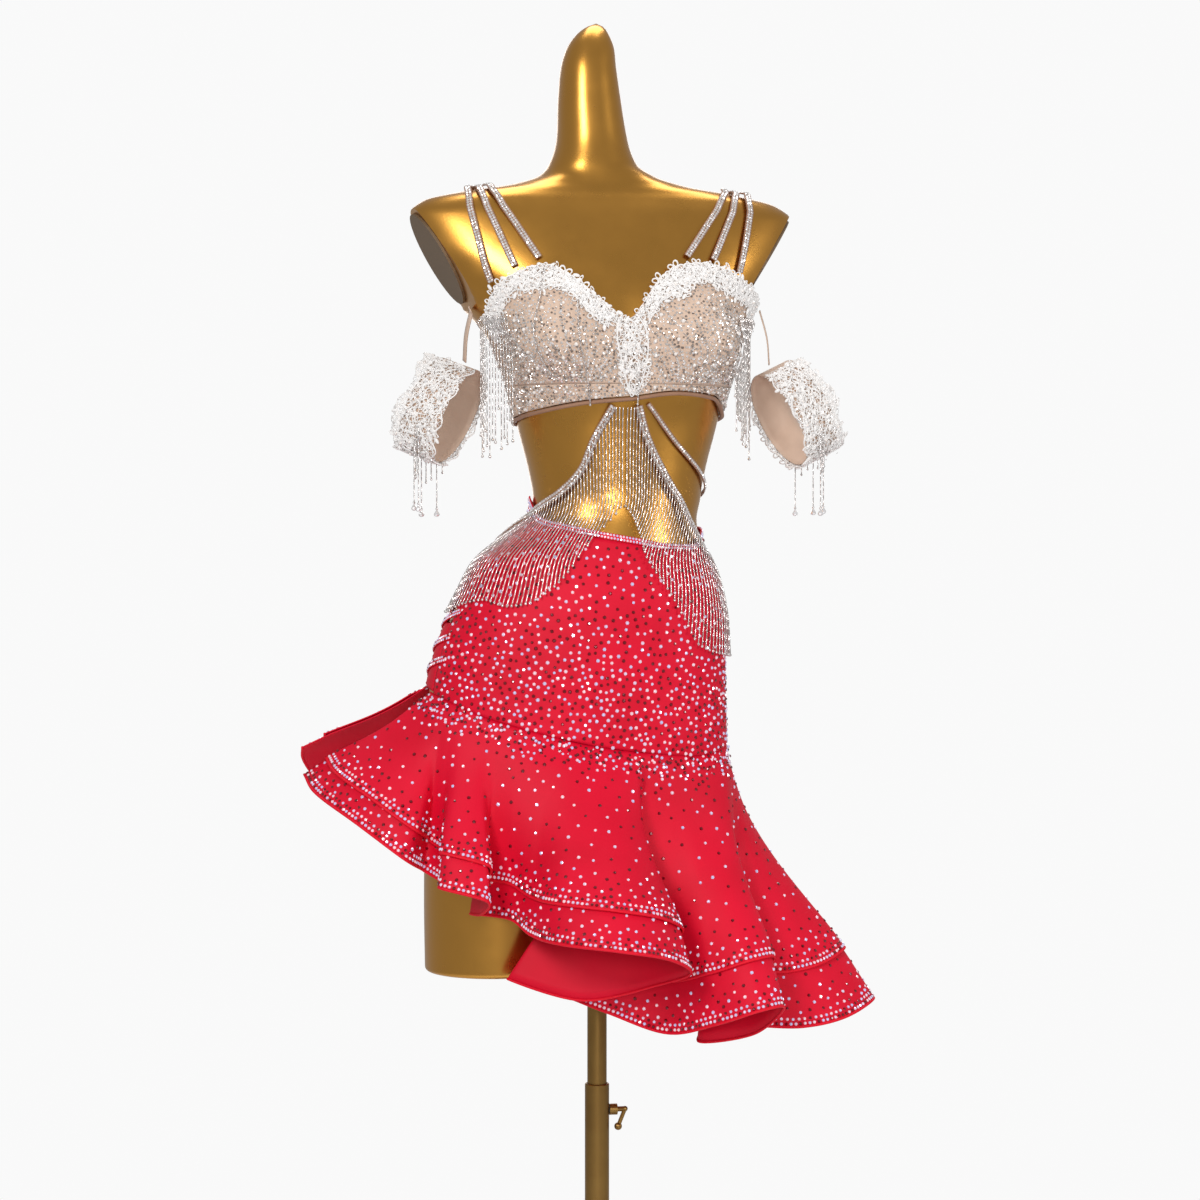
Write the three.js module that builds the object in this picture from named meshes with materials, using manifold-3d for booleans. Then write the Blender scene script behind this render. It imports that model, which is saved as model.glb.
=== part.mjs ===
// A salsa dance dress on a headless dress form with a pole stand. Millimetres, +Z up.
// The front faces -Y and +X is the wearer's left. The origin is the middle of the base's underside.
// A "turn" is an angle round the body in degrees: 0 at the front, 90 at the wearer's left.
import * as THREE from 'three';
import { mergeVertices } from 'three/addons/utils/BufferGeometryUtils.js';
import Module from 'manifold-3d';

const wasm = await Module();
wasm.setup();

// Driving sizes
const baseRadius = 160;
const baseThickness = 8;
const outerTubeRadius = 14;
const outerTubeWall = 2;
const outerTubeTop = 482;
const innerTubeRadius = 11.2;
const innerTubeBottom = 270;
const socketTop = 862;
const clampHeight = 451;
const seamGap = 0.4;          // between neighbouring pieces
const clothClear = 1.6;       // cloth to form
const clothWall = 1.3;        // thickness of one cloth layer
const trimWall = 1.2;         // thickness of lace, straps and edgings

// The form's sections: height, middle across, half width, depth to the front and to the back.
const bodySections = [
  { height: 800, middle: -19, half: 60, front: 30, back: 34 },
  { height: 808, middle: -20, half: 120, front: 60, back: 66 },
  { height: 825, middle: -22, half: 155, front: 80, back: 88 },
  { height: 850, middle: -24, half: 170, front: 92, back: 104 },
  { height: 890, middle: -25, half: 173, front: 97, back: 115 },
  { height: 936, middle: -24, half: 171, front: 98, back: 119 },
  { height: 977, middle: -20, half: 166, front: 99, back: 116 },
  { height: 1015, middle: -14, half: 158, front: 99, back: 109 },
  { height: 1050, middle: -8, half: 146, front: 97, back: 99 },
  { height: 1085, middle: -4, half: 131, front: 92, back: 88 },
  { height: 1117, middle: 10, half: 108, front: 86, back: 78 },
  { height: 1140, middle: 20, half: 97, front: 83, back: 72 },
  { height: 1160, middle: 23, half: 98, front: 82, back: 71 },
  { height: 1188, middle: 23, half: 103, front: 84, back: 73 },
  { height: 1235, middle: 23, half: 115, front: 89, back: 78 },
  { height: 1295, middle: 24, half: 129, front: 98, back: 85 },
  { height: 1342, middle: 19, half: 148, front: 103, back: 90 },
  { height: 1380, middle: 13, half: 176, front: 101, back: 92 },
  { height: 1407, middle: 8, half: 198, front: 95, back: 91 },
  { height: 1441, middle: 6, half: 216, front: 84, back: 87 },
  { height: 1478, middle: 6, half: 224, front: 69, back: 77 },
  { height: 1494, middle: 5, half: 206, front: 61, back: 69 },
  { height: 1504, middle: 5, half: 165, front: 56, back: 63 },
  { height: 1513, middle: 3, half: 108, front: 53, back: 58 },
  { height: 1524, middle: 0, half: 70, front: 51, back: 54 },
  { height: 1538, middle: -5, half: 52, front: 49, back: 50 },
  { height: 1566, middle: -6, half: 42, front: 44, back: 44 },
  { height: 1613, middle: -9, half: 37, front: 39, back: 39 },
  { height: 1648, middle: -10, half: 33, front: 35, back: 35 },
  { height: 1669, middle: -8, half: 29, front: 30, back: 30 },
  { height: 1688, middle: -5, half: 19, front: 20, back: 20 },
  { height: 1697, middle: -2, half: 9, front: 9, back: 9 },
  { height: 1700, middle: -1, half: 0.5, front: 0.5, back: 0.5 },
];
const sectionPower = 2.15;    // 2 would be a true ellipse
const formInset = 1.3;        // the hard form stands this far inside the surface the cloth is cut to
const cupPadding = 5;         // the cups stand this far off the form's bust
const bust = { across: 76, height: 1330, swell: 40, wide: 44, tall: 46 };
// The arms' flat ends: the cut runs down for the flat length, then fades out to the body's side.
const armCut = { reach: 216, height: 1478, lean: 30.5, forward: 6, flat: 118, fade: { out: 100, down: 110 }, wide: 220 };

const radians = (degrees) => degrees * Math.PI / 180;
const lerp = (a, b, t) => a + (b - a) * t;
const smooth = (a, b, x) => {
  const t = Math.min(1, Math.max(0, (x - a) / (b - a)));
  return t * t * (3 - 2 * t);
};

// A monotone cubic through the named column of a table, at x along its key column.
function along(table, key, column, x) {
  const xs = table.map((row) => row[key]);
  const ys = table.map((row) => row[column]);
  const last = xs.length - 1;
  const at = Math.min(xs[last], Math.max(xs[0], x));
  let i = 0;
  while (i < last - 1 && at > xs[i + 1]) i += 1;
  const step = (k) => xs[k + 1] - xs[k];
  const rise = (k) => (ys[k + 1] - ys[k]) / step(k);
  const slope = (k) => {
    if (k === 0) return rise(0);
    if (k === last) return rise(last - 1);
    const before = rise(k - 1);
    const after = rise(k);
    if (before * after <= 0) return 0;
    const heavy = 2 * step(k) + step(k - 1);
    const light = step(k) + 2 * step(k - 1);
    return (heavy + light) / (heavy / before + light / after);
  };
  const h = step(i);
  const t = (at - xs[i]) / h;
  return (2 * t ** 3 - 3 * t ** 2 + 1) * ys[i] + (t ** 3 - 2 * t ** 2 + t) * h * slope(i)
    + (3 * t ** 2 - 2 * t ** 3) * ys[i + 1] + (t ** 3 - t ** 2) * h * slope(i + 1);
}

// The form's radius from its middle line at a turn and a height, with the bust added in front.
function bodyRadius(turn, height, swell = bust.swell) {
  const half = along(bodySections, 'height', 'half', height);
  const front = Math.cos(turn) > 0;
  const depth = along(bodySections, 'height', front ? 'front' : 'back', height);
  const side = Math.abs(Math.sin(turn) / half) ** sectionPower;
  const ahead = Math.abs(Math.cos(turn) / depth) ** sectionPower;
  let radius = (side + ahead) ** (-1 / sectionPower);
  if (front) {
    const across = radius * Math.sin(turn);
    const facing = Math.min(1, 1.6 * Math.cos(turn));
    const up = ((height - bust.height) / bust.tall) ** 2;
    for (const x of [-bust.across, bust.across]) {
      radius += swell * facing * Math.exp(-(((across - x) / bust.wide) ** 2) - up);
    }
  }
  return radius;
}

function onBody(turn, height) {
  const angle = radians(turn);
  const radius = bodyRadius(angle, height);
  const middle = along(bodySections, 'height', 'middle', height);
  return new THREE.Vector3(middle + radius * Math.sin(angle), -radius * Math.cos(angle), height);
}

function bodyNormal(turn, height) {
  const across = onBody(turn + 1, height).sub(onBody(turn - 1, height));
  const up = onBody(turn, height + 2).sub(onBody(turn, height - 2));
  return across.cross(up).normalize();
}

const offBody = (turn, height, out) => onBody(turn, height).addScaledVector(bodyNormal(turn, height), out);

// Moves a point out of the form until it clears the surface by the given distance.
function clearOfBody(point, clear) {
  const gapAt = (p) => {
    const middle = along(bodySections, 'height', 'middle', p.z);
    const turn = Math.atan2(p.x - middle, -p.y);
    return Math.hypot(p.x - middle, p.y) - bodyRadius(turn, p.z);
  };
  const moved = point.clone();
  for (let round = 0; round < 12; round += 1) {
    const gap = gapAt(moved);
    const slope = new THREE.Vector3(
      gapAt(moved.clone().add(new THREE.Vector3(1, 0, 0))) - gap,
      gapAt(moved.clone().add(new THREE.Vector3(0, 1, 0))) - gap,
      gapAt(moved.clone().add(new THREE.Vector3(0, 0, 1))) - gap,
    );
    const distance = gap / Math.max(0.2, slope.length());
    if (distance > clear - 0.05) break;
    moved.addScaledVector(slope.normalize(), clear - distance);
  }
  return moved;
}

// Closed geometry from a grid of rows of points. Columns close on themselves where asked.
function meshOf(points, faces) {
  const geometry = new THREE.BufferGeometry();
  geometry.setAttribute('position', new THREE.Float32BufferAttribute(points.flatMap((p) => [p.x, p.y, p.z]), 3));
  geometry.setIndex(faces.flat());
  geometry.computeVertexNormals();
  return geometry;
}

// A wall between an inner and an outer sheet, each a function of (u, v) from 0 to 1.
function wall(across, up, inner, outer, closed = false) {
  const points = [];
  const faces = [];
  const columns = closed ? across : across + 1;
  for (const sheet of [inner, outer]) {
    for (let j = 0; j <= up; j += 1) {
      for (let i = 0; i < columns; i += 1) points.push(sheet(i / across, j / up));
    }
  }
  const at = (side, i, j) => (side * (up + 1) + j) * columns + (i % columns);
  const quad = (a, b, c, d) => faces.push([a, b, c], [a, c, d]);
  for (let j = 0; j < up; j += 1) {
    for (let i = 0; i < across; i += 1) {
      quad(at(1, i, j), at(1, i + 1, j), at(1, i + 1, j + 1), at(1, i, j + 1));
      quad(at(0, i, j), at(0, i, j + 1), at(0, i + 1, j + 1), at(0, i + 1, j));
    }
  }
  for (let i = 0; i < across; i += 1) {
    quad(at(0, i, 0), at(0, i + 1, 0), at(1, i + 1, 0), at(1, i, 0));
    quad(at(1, i, up), at(1, i + 1, up), at(0, i + 1, up), at(0, i, up));
  }
  if (!closed) {
    for (let j = 0; j < up; j += 1) {
      quad(at(0, 0, j + 1), at(0, 0, j), at(1, 0, j), at(1, 0, j + 1));
      quad(at(1, across, j + 1), at(1, across, j), at(0, across, j), at(0, across, j + 1));
    }
  }
  return meshOf(points, faces);
}

// A cloth panel lying on the form: u runs over the turns, v from its lower edge to its upper edge.
function panel({ from, to, low, high, out, thick = clothWall, across, up }) {
  const place = (lift) => (u, v) => {
    const turn = lerp(from, to, u);
    return offBody(turn, lerp(low(turn), high(turn), v), lift);
  };
  const whole = Math.abs(to - from - 360) < 0.01;
  return wall(across, up, place(out), place(out + thick), whole);
}

// A flat band along a line of points, each with the direction its face looks to.
function band(points, faceDirs, width, thick, closed = false) {
  const frames = points.map((p, i) => {
    const next = points[closed ? (i + 1) % points.length : Math.min(i + 1, points.length - 1)];
    const last = points[closed ? (i + points.length - 1) % points.length : Math.max(i - 1, 0)];
    const run = next.clone().sub(last).normalize();
    const side = run.clone().cross(faceDirs[i]).normalize();
    return { p, side, face: side.clone().cross(run).normalize() };
  });
  const sheet = (lift) => (u, v) => {
    const f = frames[Math.round(u * (closed ? points.length : points.length - 1)) % points.length];
    return f.p.clone().addScaledVector(f.side, (0.5 - v) * width).addScaledVector(f.face, lift);
  };
  const count = closed ? points.length : points.length - 1;
  return wall(count, 1, sheet(0), sheet(thick), closed);
}

// A band lying on the form along rows of { turn, height }.
function bodyBand(route, width, out, thick, steps) {
  const curve = new THREE.CatmullRomCurve3(route.map((r) => new THREE.Vector3(r.turn, r.height, 0)), false, 'centripetal');
  const places = curve.getPoints(steps);
  const points = places.map((q) => offBody(q.x, q.y, out));
  const faces = places.map((q) => bodyNormal(q.x, q.y));
  return band(points, faces, width, thick);
}

// manifold-3d solids from three.js geometry and back
function toManifold(geometry) {
  const bare = geometry.clone();
  bare.deleteAttribute('normal');
  bare.deleteAttribute('uv');
  const merged = mergeVertices(bare, 1e-4);
  return new wasm.Manifold(new wasm.Mesh({
    numProp: 3,
    vertProperties: new Float32Array(merged.attributes.position.array),
    triVerts: new Uint32Array(merged.index.array),
  }));
}

function fromManifold(solid) {
  const mesh = solid.getMesh();
  const geometry = new THREE.BufferGeometry();
  geometry.setAttribute('position', new THREE.Float32BufferAttribute(mesh.vertProperties, 3));
  geometry.setIndex([...mesh.triVerts]);
  geometry.computeVertexNormals();
  return geometry;
}

const group = new THREE.Group();
const finishes = {
  gold: { color: 0xb5812f, roughness: 0.34, metalness: 0.9 },
  brass: { color: 0x9a6f2e, roughness: 0.4, metalness: 0.95 },
  nude: { color: 0xcaa98c, roughness: 0.7, metalness: 0 },
  lace: { color: 0xf1efec, roughness: 0.75, metalness: 0 },
  stones: { color: 0xcfc8c2, roughness: 0.25, metalness: 0.3 },
  red: { color: 0xe8142c, roughness: 0.45, metalness: 0 },
};

function add(name, finish, geometry) {
  const mesh = new THREE.Mesh(geometry, new THREE.MeshStandardMaterial(finishes[finish]));
  mesh.name = name;
  group.add(mesh);
  return mesh;
}

const ring = (profile, segments) => new THREE.LatheGeometry(profile.map(([r, z]) => new THREE.Vector2(r, z)), segments)
  .rotateX(Math.PI / 2);

// The stand: base plate, outer tube, clamp boss and clamp screw
function buildStand() {
  const foot = baseRadius;
  const lip = 3;
  add('base_plate', 'brass', ring([
    [0, 0], [foot - 1, 0], [foot, 1], [foot, baseThickness - lip], [foot - lip, baseThickness], [0, baseThickness],
  ], 40));
  const inside = outerTubeRadius - outerTubeWall;
  const bottom = baseThickness + seamGap;
  const flange = 30;
  add('outer_tube', 'brass', ring([
    [inside, bottom], [flange, bottom], [flange, bottom + 5], [outerTubeRadius, bottom + 8],
    [outerTubeRadius, outerTubeTop - 1], [outerTubeRadius - 1, outerTubeTop], [inside, outerTubeTop], [inside, bottom],
  ], 28));

  const bossReach = 9;
  const boss = new THREE.CylinderGeometry(6.5, 6.5, bossReach, 16).rotateZ(Math.PI / 2);
  boss.translate(outerTubeRadius + seamGap + bossReach / 2, 0, clampHeight);
  add('clamp_boss', 'brass', boss);

  // The screw's handle: out of the boss, a bend, and a short arm with a ball.
  const start = outerTubeRadius + bossReach + 2 * seamGap;
  const shaft = new THREE.CylinderGeometry(3, 3, 10, 10).rotateZ(Math.PI / 2).translate(start + 5, 0, clampHeight);
  const armDrop = 20;
  const armEnd = new THREE.Vector3(start + 1, 0, clampHeight - armDrop);
  const bend = new THREE.Vector3(start + 9, 0, clampHeight);
  const arm = new THREE.CylinderGeometry(2.4, 2.4, armEnd.distanceTo(bend), 10);
  const lean = new THREE.Quaternion().setFromUnitVectors(
    new THREE.Vector3(0, 1, 0),
    bend.clone().sub(armEnd).normalize(),
  );
  arm.applyQuaternion(lean).translate(...bend.clone().add(armEnd).multiplyScalar(0.5));
  const ball = new THREE.SphereGeometry(4.6, 12, 8).translate(...armEnd);
  const knuckle = new THREE.SphereGeometry(3.4, 10, 6).translate(...bend);
  const pieces = [shaft, arm, ball, knuckle].map(toManifold);
  add('clamp_screw', 'brass', fromManifold(pieces.reduce((a, b) => a.add(b))));

  add('inner_tube', 'brass', ring([
    [0, innerTubeBottom], [innerTubeRadius, innerTubeBottom], [innerTubeRadius, socketTop - 2], [0, socketTop - 2],
  ], 36));
}

// The form: torso, neck, arm ends cut flat, and two plain thighs
const thighs = [
  { side: -1, rows: [
    { height: 617, middle: -121, radius: 78 }, { height: 700, middle: -118, radius: 82 },
    { height: 800, middle: -111, radius: 86 }, { height: 880, middle: -103, radius: 84 },
  ] },
  { side: 1, rows: [
    { height: 652, middle: 80, radius: 62 }, { height: 720, middle: 77, radius: 66 },
    { height: 800, middle: 64, radius: 72 }, { height: 880, middle: 48, radius: 76 },
  ] },
];

function armPlane(side) {
  const lean = radians(armCut.lean);
  const forward = radians(armCut.forward);
  const normal = new THREE.Vector3(side * Math.cos(lean) * Math.cos(forward),
    -Math.cos(lean) * Math.sin(forward), -Math.sin(lean));
  const place = new THREE.Vector3(6 + side * armCut.reach, 0, armCut.height);
  const down = new THREE.Vector3(0, 0, -1).addScaledVector(normal, normal.z).normalize();
  return { normal, place, down };
}

function buildForm() {
  const around = 40;
  const heights = [800, 804, 812, 825, 850, 890, 936, 977, 1015, 1050, 1075, 1094, 1106, 1117, 1128, 1140, 1160,
    1200, 1250, 1295, 1320, 1342, 1362, 1385, 1412, 1441, 1478, 1494, 1504, 1513, 1524, 1540,
    1613, 1648, 1669, 1688, 1697, 1700];
  const points = [];
  for (const height of heights) {
    const half = along(bodySections, 'height', 'half', height);
    for (let i = 0; i < around; i += 1) {
      const s = 2 * Math.PI * i / around;
      const depth = along(bodySections, 'height', Math.cos(s) > 0 ? 'front' : 'back', height);
      const turn = Math.atan2(half * Math.sin(s), depth * Math.cos(s));
      const radius = Math.max(0.3, bodyRadius(turn, height, bust.swell - cupPadding) - formInset);
      const middle = along(bodySections, 'height', 'middle', height);
      points.push(new THREE.Vector3(middle + radius * Math.sin(turn), -radius * Math.cos(turn), height));
    }
  }
  const rows = heights.length;
  const at = (i, j) => j * around + (i % around);
  const faces = [];
  for (let j = 0; j < rows - 1; j += 1) {
    for (let i = 0; i < around; i += 1) {
      faces.push([at(i, j), at(i + 1, j), at(i + 1, j + 1)], [at(i, j), at(i + 1, j + 1), at(i, j + 1)]);
    }
  }
  for (const [j, up] of [[0, false], [rows - 1, true]]) {
    const middle = along(bodySections, 'height', 'middle', heights[j]);
    points.push(new THREE.Vector3(middle, 0, heights[j]));
    const hub = points.length - 1;
    for (let i = 0; i < around; i += 1) {
      faces.push(up ? [at(i, j), at(i + 1, j), hub] : [at(i + 1, j), at(i, j), hub]);
    }
  }
  let body = toManifold(meshOf(points, faces));

  for (const thigh of thighs) {
    const profile = [];
    for (let k = 0; k <= 3; k += 1) {
      const height = lerp(thigh.rows[0].height, 880, k / 3);
      profile.push({ height, middle: along(thigh.rows, 'height', 'middle', height),
        radius: along(thigh.rows, 'height', 'radius', height) });
    }
    const edge = 3;
    profile.unshift({ ...profile[0], radius: profile[0].radius - edge });
    profile[1].height += edge;
    const sides = 28;
    const spots = profile.flatMap((row) => Array.from({ length: sides }, (_, i) => {
      const s = 2 * Math.PI * i / sides;
      return new THREE.Vector3(row.middle + row.radius * Math.sin(s), -row.radius * Math.cos(s), row.height);
    }));
    const pick = (i, j) => j * sides + (i % sides);
    const skin = [];
    for (let j = 0; j < profile.length - 1; j += 1) {
      for (let i = 0; i < sides; i += 1) {
        skin.push([pick(i, j), pick(i + 1, j), pick(i + 1, j + 1)], [pick(i, j), pick(i + 1, j + 1), pick(i, j + 1)]);
      }
    }
    for (let i = 1; i < sides - 1; i += 1) {
      skin.push([0, i + 1, i]);
      const top = (profile.length - 1) * sides;
      skin.push([top, top + i, top + i + 1]);
    }
    body = body.add(toManifold(meshOf(spots, skin)));
  }

  // Each arm ends in a flat oval, and the pole runs up into a blind hole.
  for (const side of [-1, 1]) {
    const { normal, place, down } = armPlane(side);
    const { flat, fade, wide } = armCut;
    const outline = [[0, -wide], [0, flat], [fade.out, flat + fade.down], [wide, flat + fade.down], [wide, -wide]]
      .map(([out, low]) => new THREE.Vector2(out, low));
    const block = new THREE.ExtrudeGeometry(new THREE.Shape(outline), { depth: 2 * wide, bevelEnabled: false })
      .translate(0, 0, -wide);
    block.applyMatrix4(new THREE.Matrix4().makeBasis(normal, down, normal.clone().cross(down))).translate(...place);
    body = body.subtract(toManifold(block));
  }
  const holeHeight = 200;
  const hole = new THREE.CylinderGeometry(innerTubeRadius + seamGap, innerTubeRadius + seamGap, holeHeight, 36)
    .rotateX(Math.PI / 2).translate(0, 0, socketTop - holeHeight / 2);
  body = body.subtract(toManifold(hole));
  add('form_body', 'gold', fromManifold(body));

  // A thin oval plate covers each flat end.
  const thick = 3;
  for (const [name, side] of [['arm_plate_right', -1], ['arm_plate_left', 1]]) {
    const { normal, place, down } = armPlane(side);
    const face = new THREE.Shape().absellipse(0, 0, 58, 44, 0, 2 * Math.PI);
    const plate = new THREE.ExtrudeGeometry(face, { depth: thick, bevelEnabled: false, curveSegments: 18 });
    // the plate's long way runs down the slope of the cut
    const basis = new THREE.Matrix4().makeBasis(down, normal.clone().cross(down), normal);
    plate.applyMatrix4(basis);
    const middle = place.clone().addScaledVector(down, 56).addScaledVector(normal, seamGap);
    middle.y += 2;
    plate.translate(...middle);
    add(name, 'brass', plate);
  }
}

// The bra: heights of its edges round the body. Right and left are the wearer's.
const braTop = [
  { turn: -78, height: 1352 }, { turn: -70, height: 1371 }, { turn: -60, height: 1397 },
  { turn: -54, height: 1407 }, { turn: -44, height: 1415 }, { turn: -36, height: 1410 },
  { turn: -24, height: 1391 }, { turn: -10, height: 1366 }, { turn: 0, height: 1356 },
  { turn: 12, height: 1376 }, { turn: 27, height: 1404 }, { turn: 38, height: 1416 },
  { turn: 50, height: 1420 }, { turn: 60, height: 1412 }, { turn: 69, height: 1394 }, { turn: 78, height: 1366 },
];
const braFoot = [
  { turn: -90, height: 1238 }, { turn: -78, height: 1245 }, { turn: -60, height: 1251 },
  { turn: -28, height: 1261 }, { turn: 0, height: 1265 }, { turn: 30, height: 1272 },
  { turn: 53, height: 1268 }, { turn: 78, height: 1250 }, { turn: 90, height: 1246 },
];
const cupFoot = 1284;         // where the cups meet the band under them
const backTop = [
  { turn: 78, height: 1360 }, { turn: 105, height: 1312 }, { turn: 135, height: 1296 },
  { turn: 180, height: 1292 }, { turn: 225, height: 1296 }, { turn: 255, height: 1304 }, { turn: 282, height: 1346 },
];
const backFoot = [
  { turn: 78, height: 1250 }, { turn: 110, height: 1244 }, { turn: 180, height: 1242 },
  { turn: 250, height: 1240 }, { turn: 282, height: 1245 },
];
const braEdge = 5;            // height of the edging under the band
const sideSeam = 78;          // turn of the bra's side seams
const gapTurn = 0.25;         // half a seam's gap, in degrees of turn

const topOf = (turn) => along(braTop, 'turn', 'height', turn);
const footOf = (turn) => along(braFoot, 'turn', 'height', turn);

function buildBra() {
  const sides = [['right', -sideSeam, 0], ['left', 0, sideSeam]];
  for (const [name, from, to] of sides) {
    add(`cup_${name}`, 'stones', panel({
      from: from + gapTurn, to: to - gapTurn, low: () => cupFoot + seamGap, high: topOf,
      out: clothClear, across: 14, up: 6,
    }));
    add(`band_${name}`, 'stones', panel({
      from: from + gapTurn, to: to - gapTurn, low: (t) => footOf(t) + braEdge + 2.5 * seamGap, high: () => cupFoot,
      out: clothClear, across: 14, up: 1,
    }));
  }
  add('band_back', 'stones', panel({
    from: sideSeam + gapTurn, to: 360 - sideSeam - gapTurn,
    low: (t) => along(backFoot, 'turn', 'height', t) + braEdge + 2.5 * seamGap,
    high: (t) => along(backTop, 'turn', 'height', t), out: clothClear, across: 20, up: 2,
  }));
  const edgeLow = (turn) => (turn <= sideSeam ? footOf(turn) : along(backFoot, 'turn', 'height', turn));
  add('band_edge', 'nude', panel({
    from: -sideSeam, to: 360 - sideSeam, low: edgeLow, high: (t) => edgeLow(t) + braEdge,
    out: clothClear, across: 52, up: 1,
  }));

  // Lace lies over the tops of the cups and down the middle.
  const laceOut = clothClear + clothWall + seamGap + 0.9;
  const laceDeep = 24;
  add('lace_neck_right', 'lace', panel({
    from: -sideSeam + 2, to: -11, low: (t) => topOf(t) - laceDeep - 5 * Math.sin(radians(t * 14)),
    high: (t) => topOf(t) - 0.5, out: laceOut, thick: trimWall, across: 16, up: 3,
  }));
  add('lace_neck_left', 'lace', panel({
    from: 11, to: sideSeam - 2, low: (t) => topOf(t) - laceDeep - 5 * Math.sin(radians(t * 14)),
    high: (t) => topOf(t) - 0.5, out: laceOut, thick: trimWall, across: 16, up: 3,
  }));
  add('lace_centre', 'lace', panel({
    from: -10.6, to: 10.6, low: (t) => 1272 + 0.17 * t * t, high: (t) => topOf(t) - 1, out: laceOut,
    thick: trimWall, across: 8, up: 5,
  }));
}

// Bead strings at the bra's sides: plain walls of their reach, from the cup's top to where they end
const sideStrings = {
  right: { top: [{ turn: -86, height: 1356 }, { turn: -78, height: 1359 }, { turn: -72, height: 1363 },
    { turn: -60, height: 1363 }],
  feet: [{ turn: -84, height: 1206 }, { turn: -73, height: 1188 }, { turn: -62, height: 1206 }] },
  left: { top: [{ turn: 60, height: 1363 }, { turn: 72, height: 1363 }, { turn: 78, height: 1360 },
    { turn: 86, height: 1357 }],
  feet: [{ turn: 62, height: 1226 }, { turn: 73, height: 1196 }, { turn: 84, height: 1222 }] },
};

function buildSideStrings() {
  const { right, left } = sideStrings;
  add('side_fringe_right', 'stones', fringeWall(right.top, right.feet, -80, -58, 6, 5));
  add('side_fringe_left', 'stones', fringeWall(left.top, left.feet, 57, 79, 6, 5));
}

// Shoulder straps: three a side in front, meeting on the shoulder, and one behind
function strapOver(points, width, steps, clear) {
  const curve = new THREE.CatmullRomCurve3(points, false, 'centripetal');
  const places = curve.getPoints(steps).map((p) => clearOfBody(p, clear));
  const faces = places.map((p) => clearOfBody(p, 60).sub(p).normalize());
  return band(places, faces, width, trimWall);
}

const strapWidth = 8;
const shoulderTop = { right: new THREE.Vector3(-141, -16, 1507), left: new THREE.Vector3(156, -16, 1507) };
const strapFeet = {
  right: [{ name: 'inner', turn: -46, height: 1417, split: 9 }, { name: 'middle', turn: -55, height: 1408, split: 0 },
    { name: 'outer', turn: -63.5, height: 1391, split: -9 }],
  left: [{ name: 'inner', turn: 44, height: 1421, split: -9 }, { name: 'middle', turn: 55, height: 1418, split: 0 },
    { name: 'outer', turn: 64, height: 1406, split: 9 }],
};

function buildStraps() {
  const clear = 2.6;
  for (const side of ['right', 'left']) {
    const top = shoulderTop[side];
    for (const foot of strapFeet[side]) {
      const start = offBody(foot.turn, foot.height + 6, clear);
      const end = top.clone().add(new THREE.Vector3(foot.split * 1.02, foot.name === 'middle' ? 0 : 1, 0));
      const half = start.clone().lerp(end, 0.55);
      add(`strap_${side}_${foot.name}`, 'nude', strapOver([start, half, end], strapWidth, 12, clear));
    }
    const seat = top.clone().add(new THREE.Vector3(0, 7, 0.6));
    const blade = onBody(side === 'right' ? 236 : 124, 1420);
    const endTurn = side === 'right' ? 228 : 132;
    const end = offBody(endTurn, along(backTop, 'turn', 'height', endTurn) + 5, clear);
    add(`strap_${side}_back`, 'nude', strapOver([seat, top.clone().setY(34), blade, end], 12, 14, clear));
  }
}

// The drop sleeves: an elastic loop each side, lace on its outside, a hanger and bead drops
const sleeves = {
  right: { middle: new THREE.Vector3(-182, -12, 1257), long: new THREE.Vector3(0.46, 0.1, 0.88),
    face: new THREE.Vector3(0.86, -0.48, 0.1), hang: new THREE.Vector3(-148, -30, 1374) },
  left: { middle: new THREE.Vector3(225, -30, 1256), long: new THREE.Vector3(-0.46, 0.1, 0.88),
    face: new THREE.Vector3(-0.95, -0.3, 0.1), hang: new THREE.Vector3(184, -34, 1372) },
};
const sleeveLong = 56;
const sleeveShort = 34;
const sleeveBand = 48;

function sleeveRim(sleeve, s, lift, shift) {
  const long = sleeve.long.clone().normalize();
  const axis = sleeve.face.clone().addScaledVector(long, -sleeve.face.dot(long)).normalize();
  const short = long.clone().cross(axis);
  const out = long.clone().multiplyScalar(Math.cos(s) * sleeveShort).addScaledVector(short, Math.sin(s) * sleeveLong)
    .normalize();
  return sleeve.middle.clone()
    .addScaledVector(long, Math.cos(s) * sleeveLong)
    .addScaledVector(short, Math.sin(s) * sleeveShort)
    .addScaledVector(out, lift)
    .addScaledVector(axis, shift);
}

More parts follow.
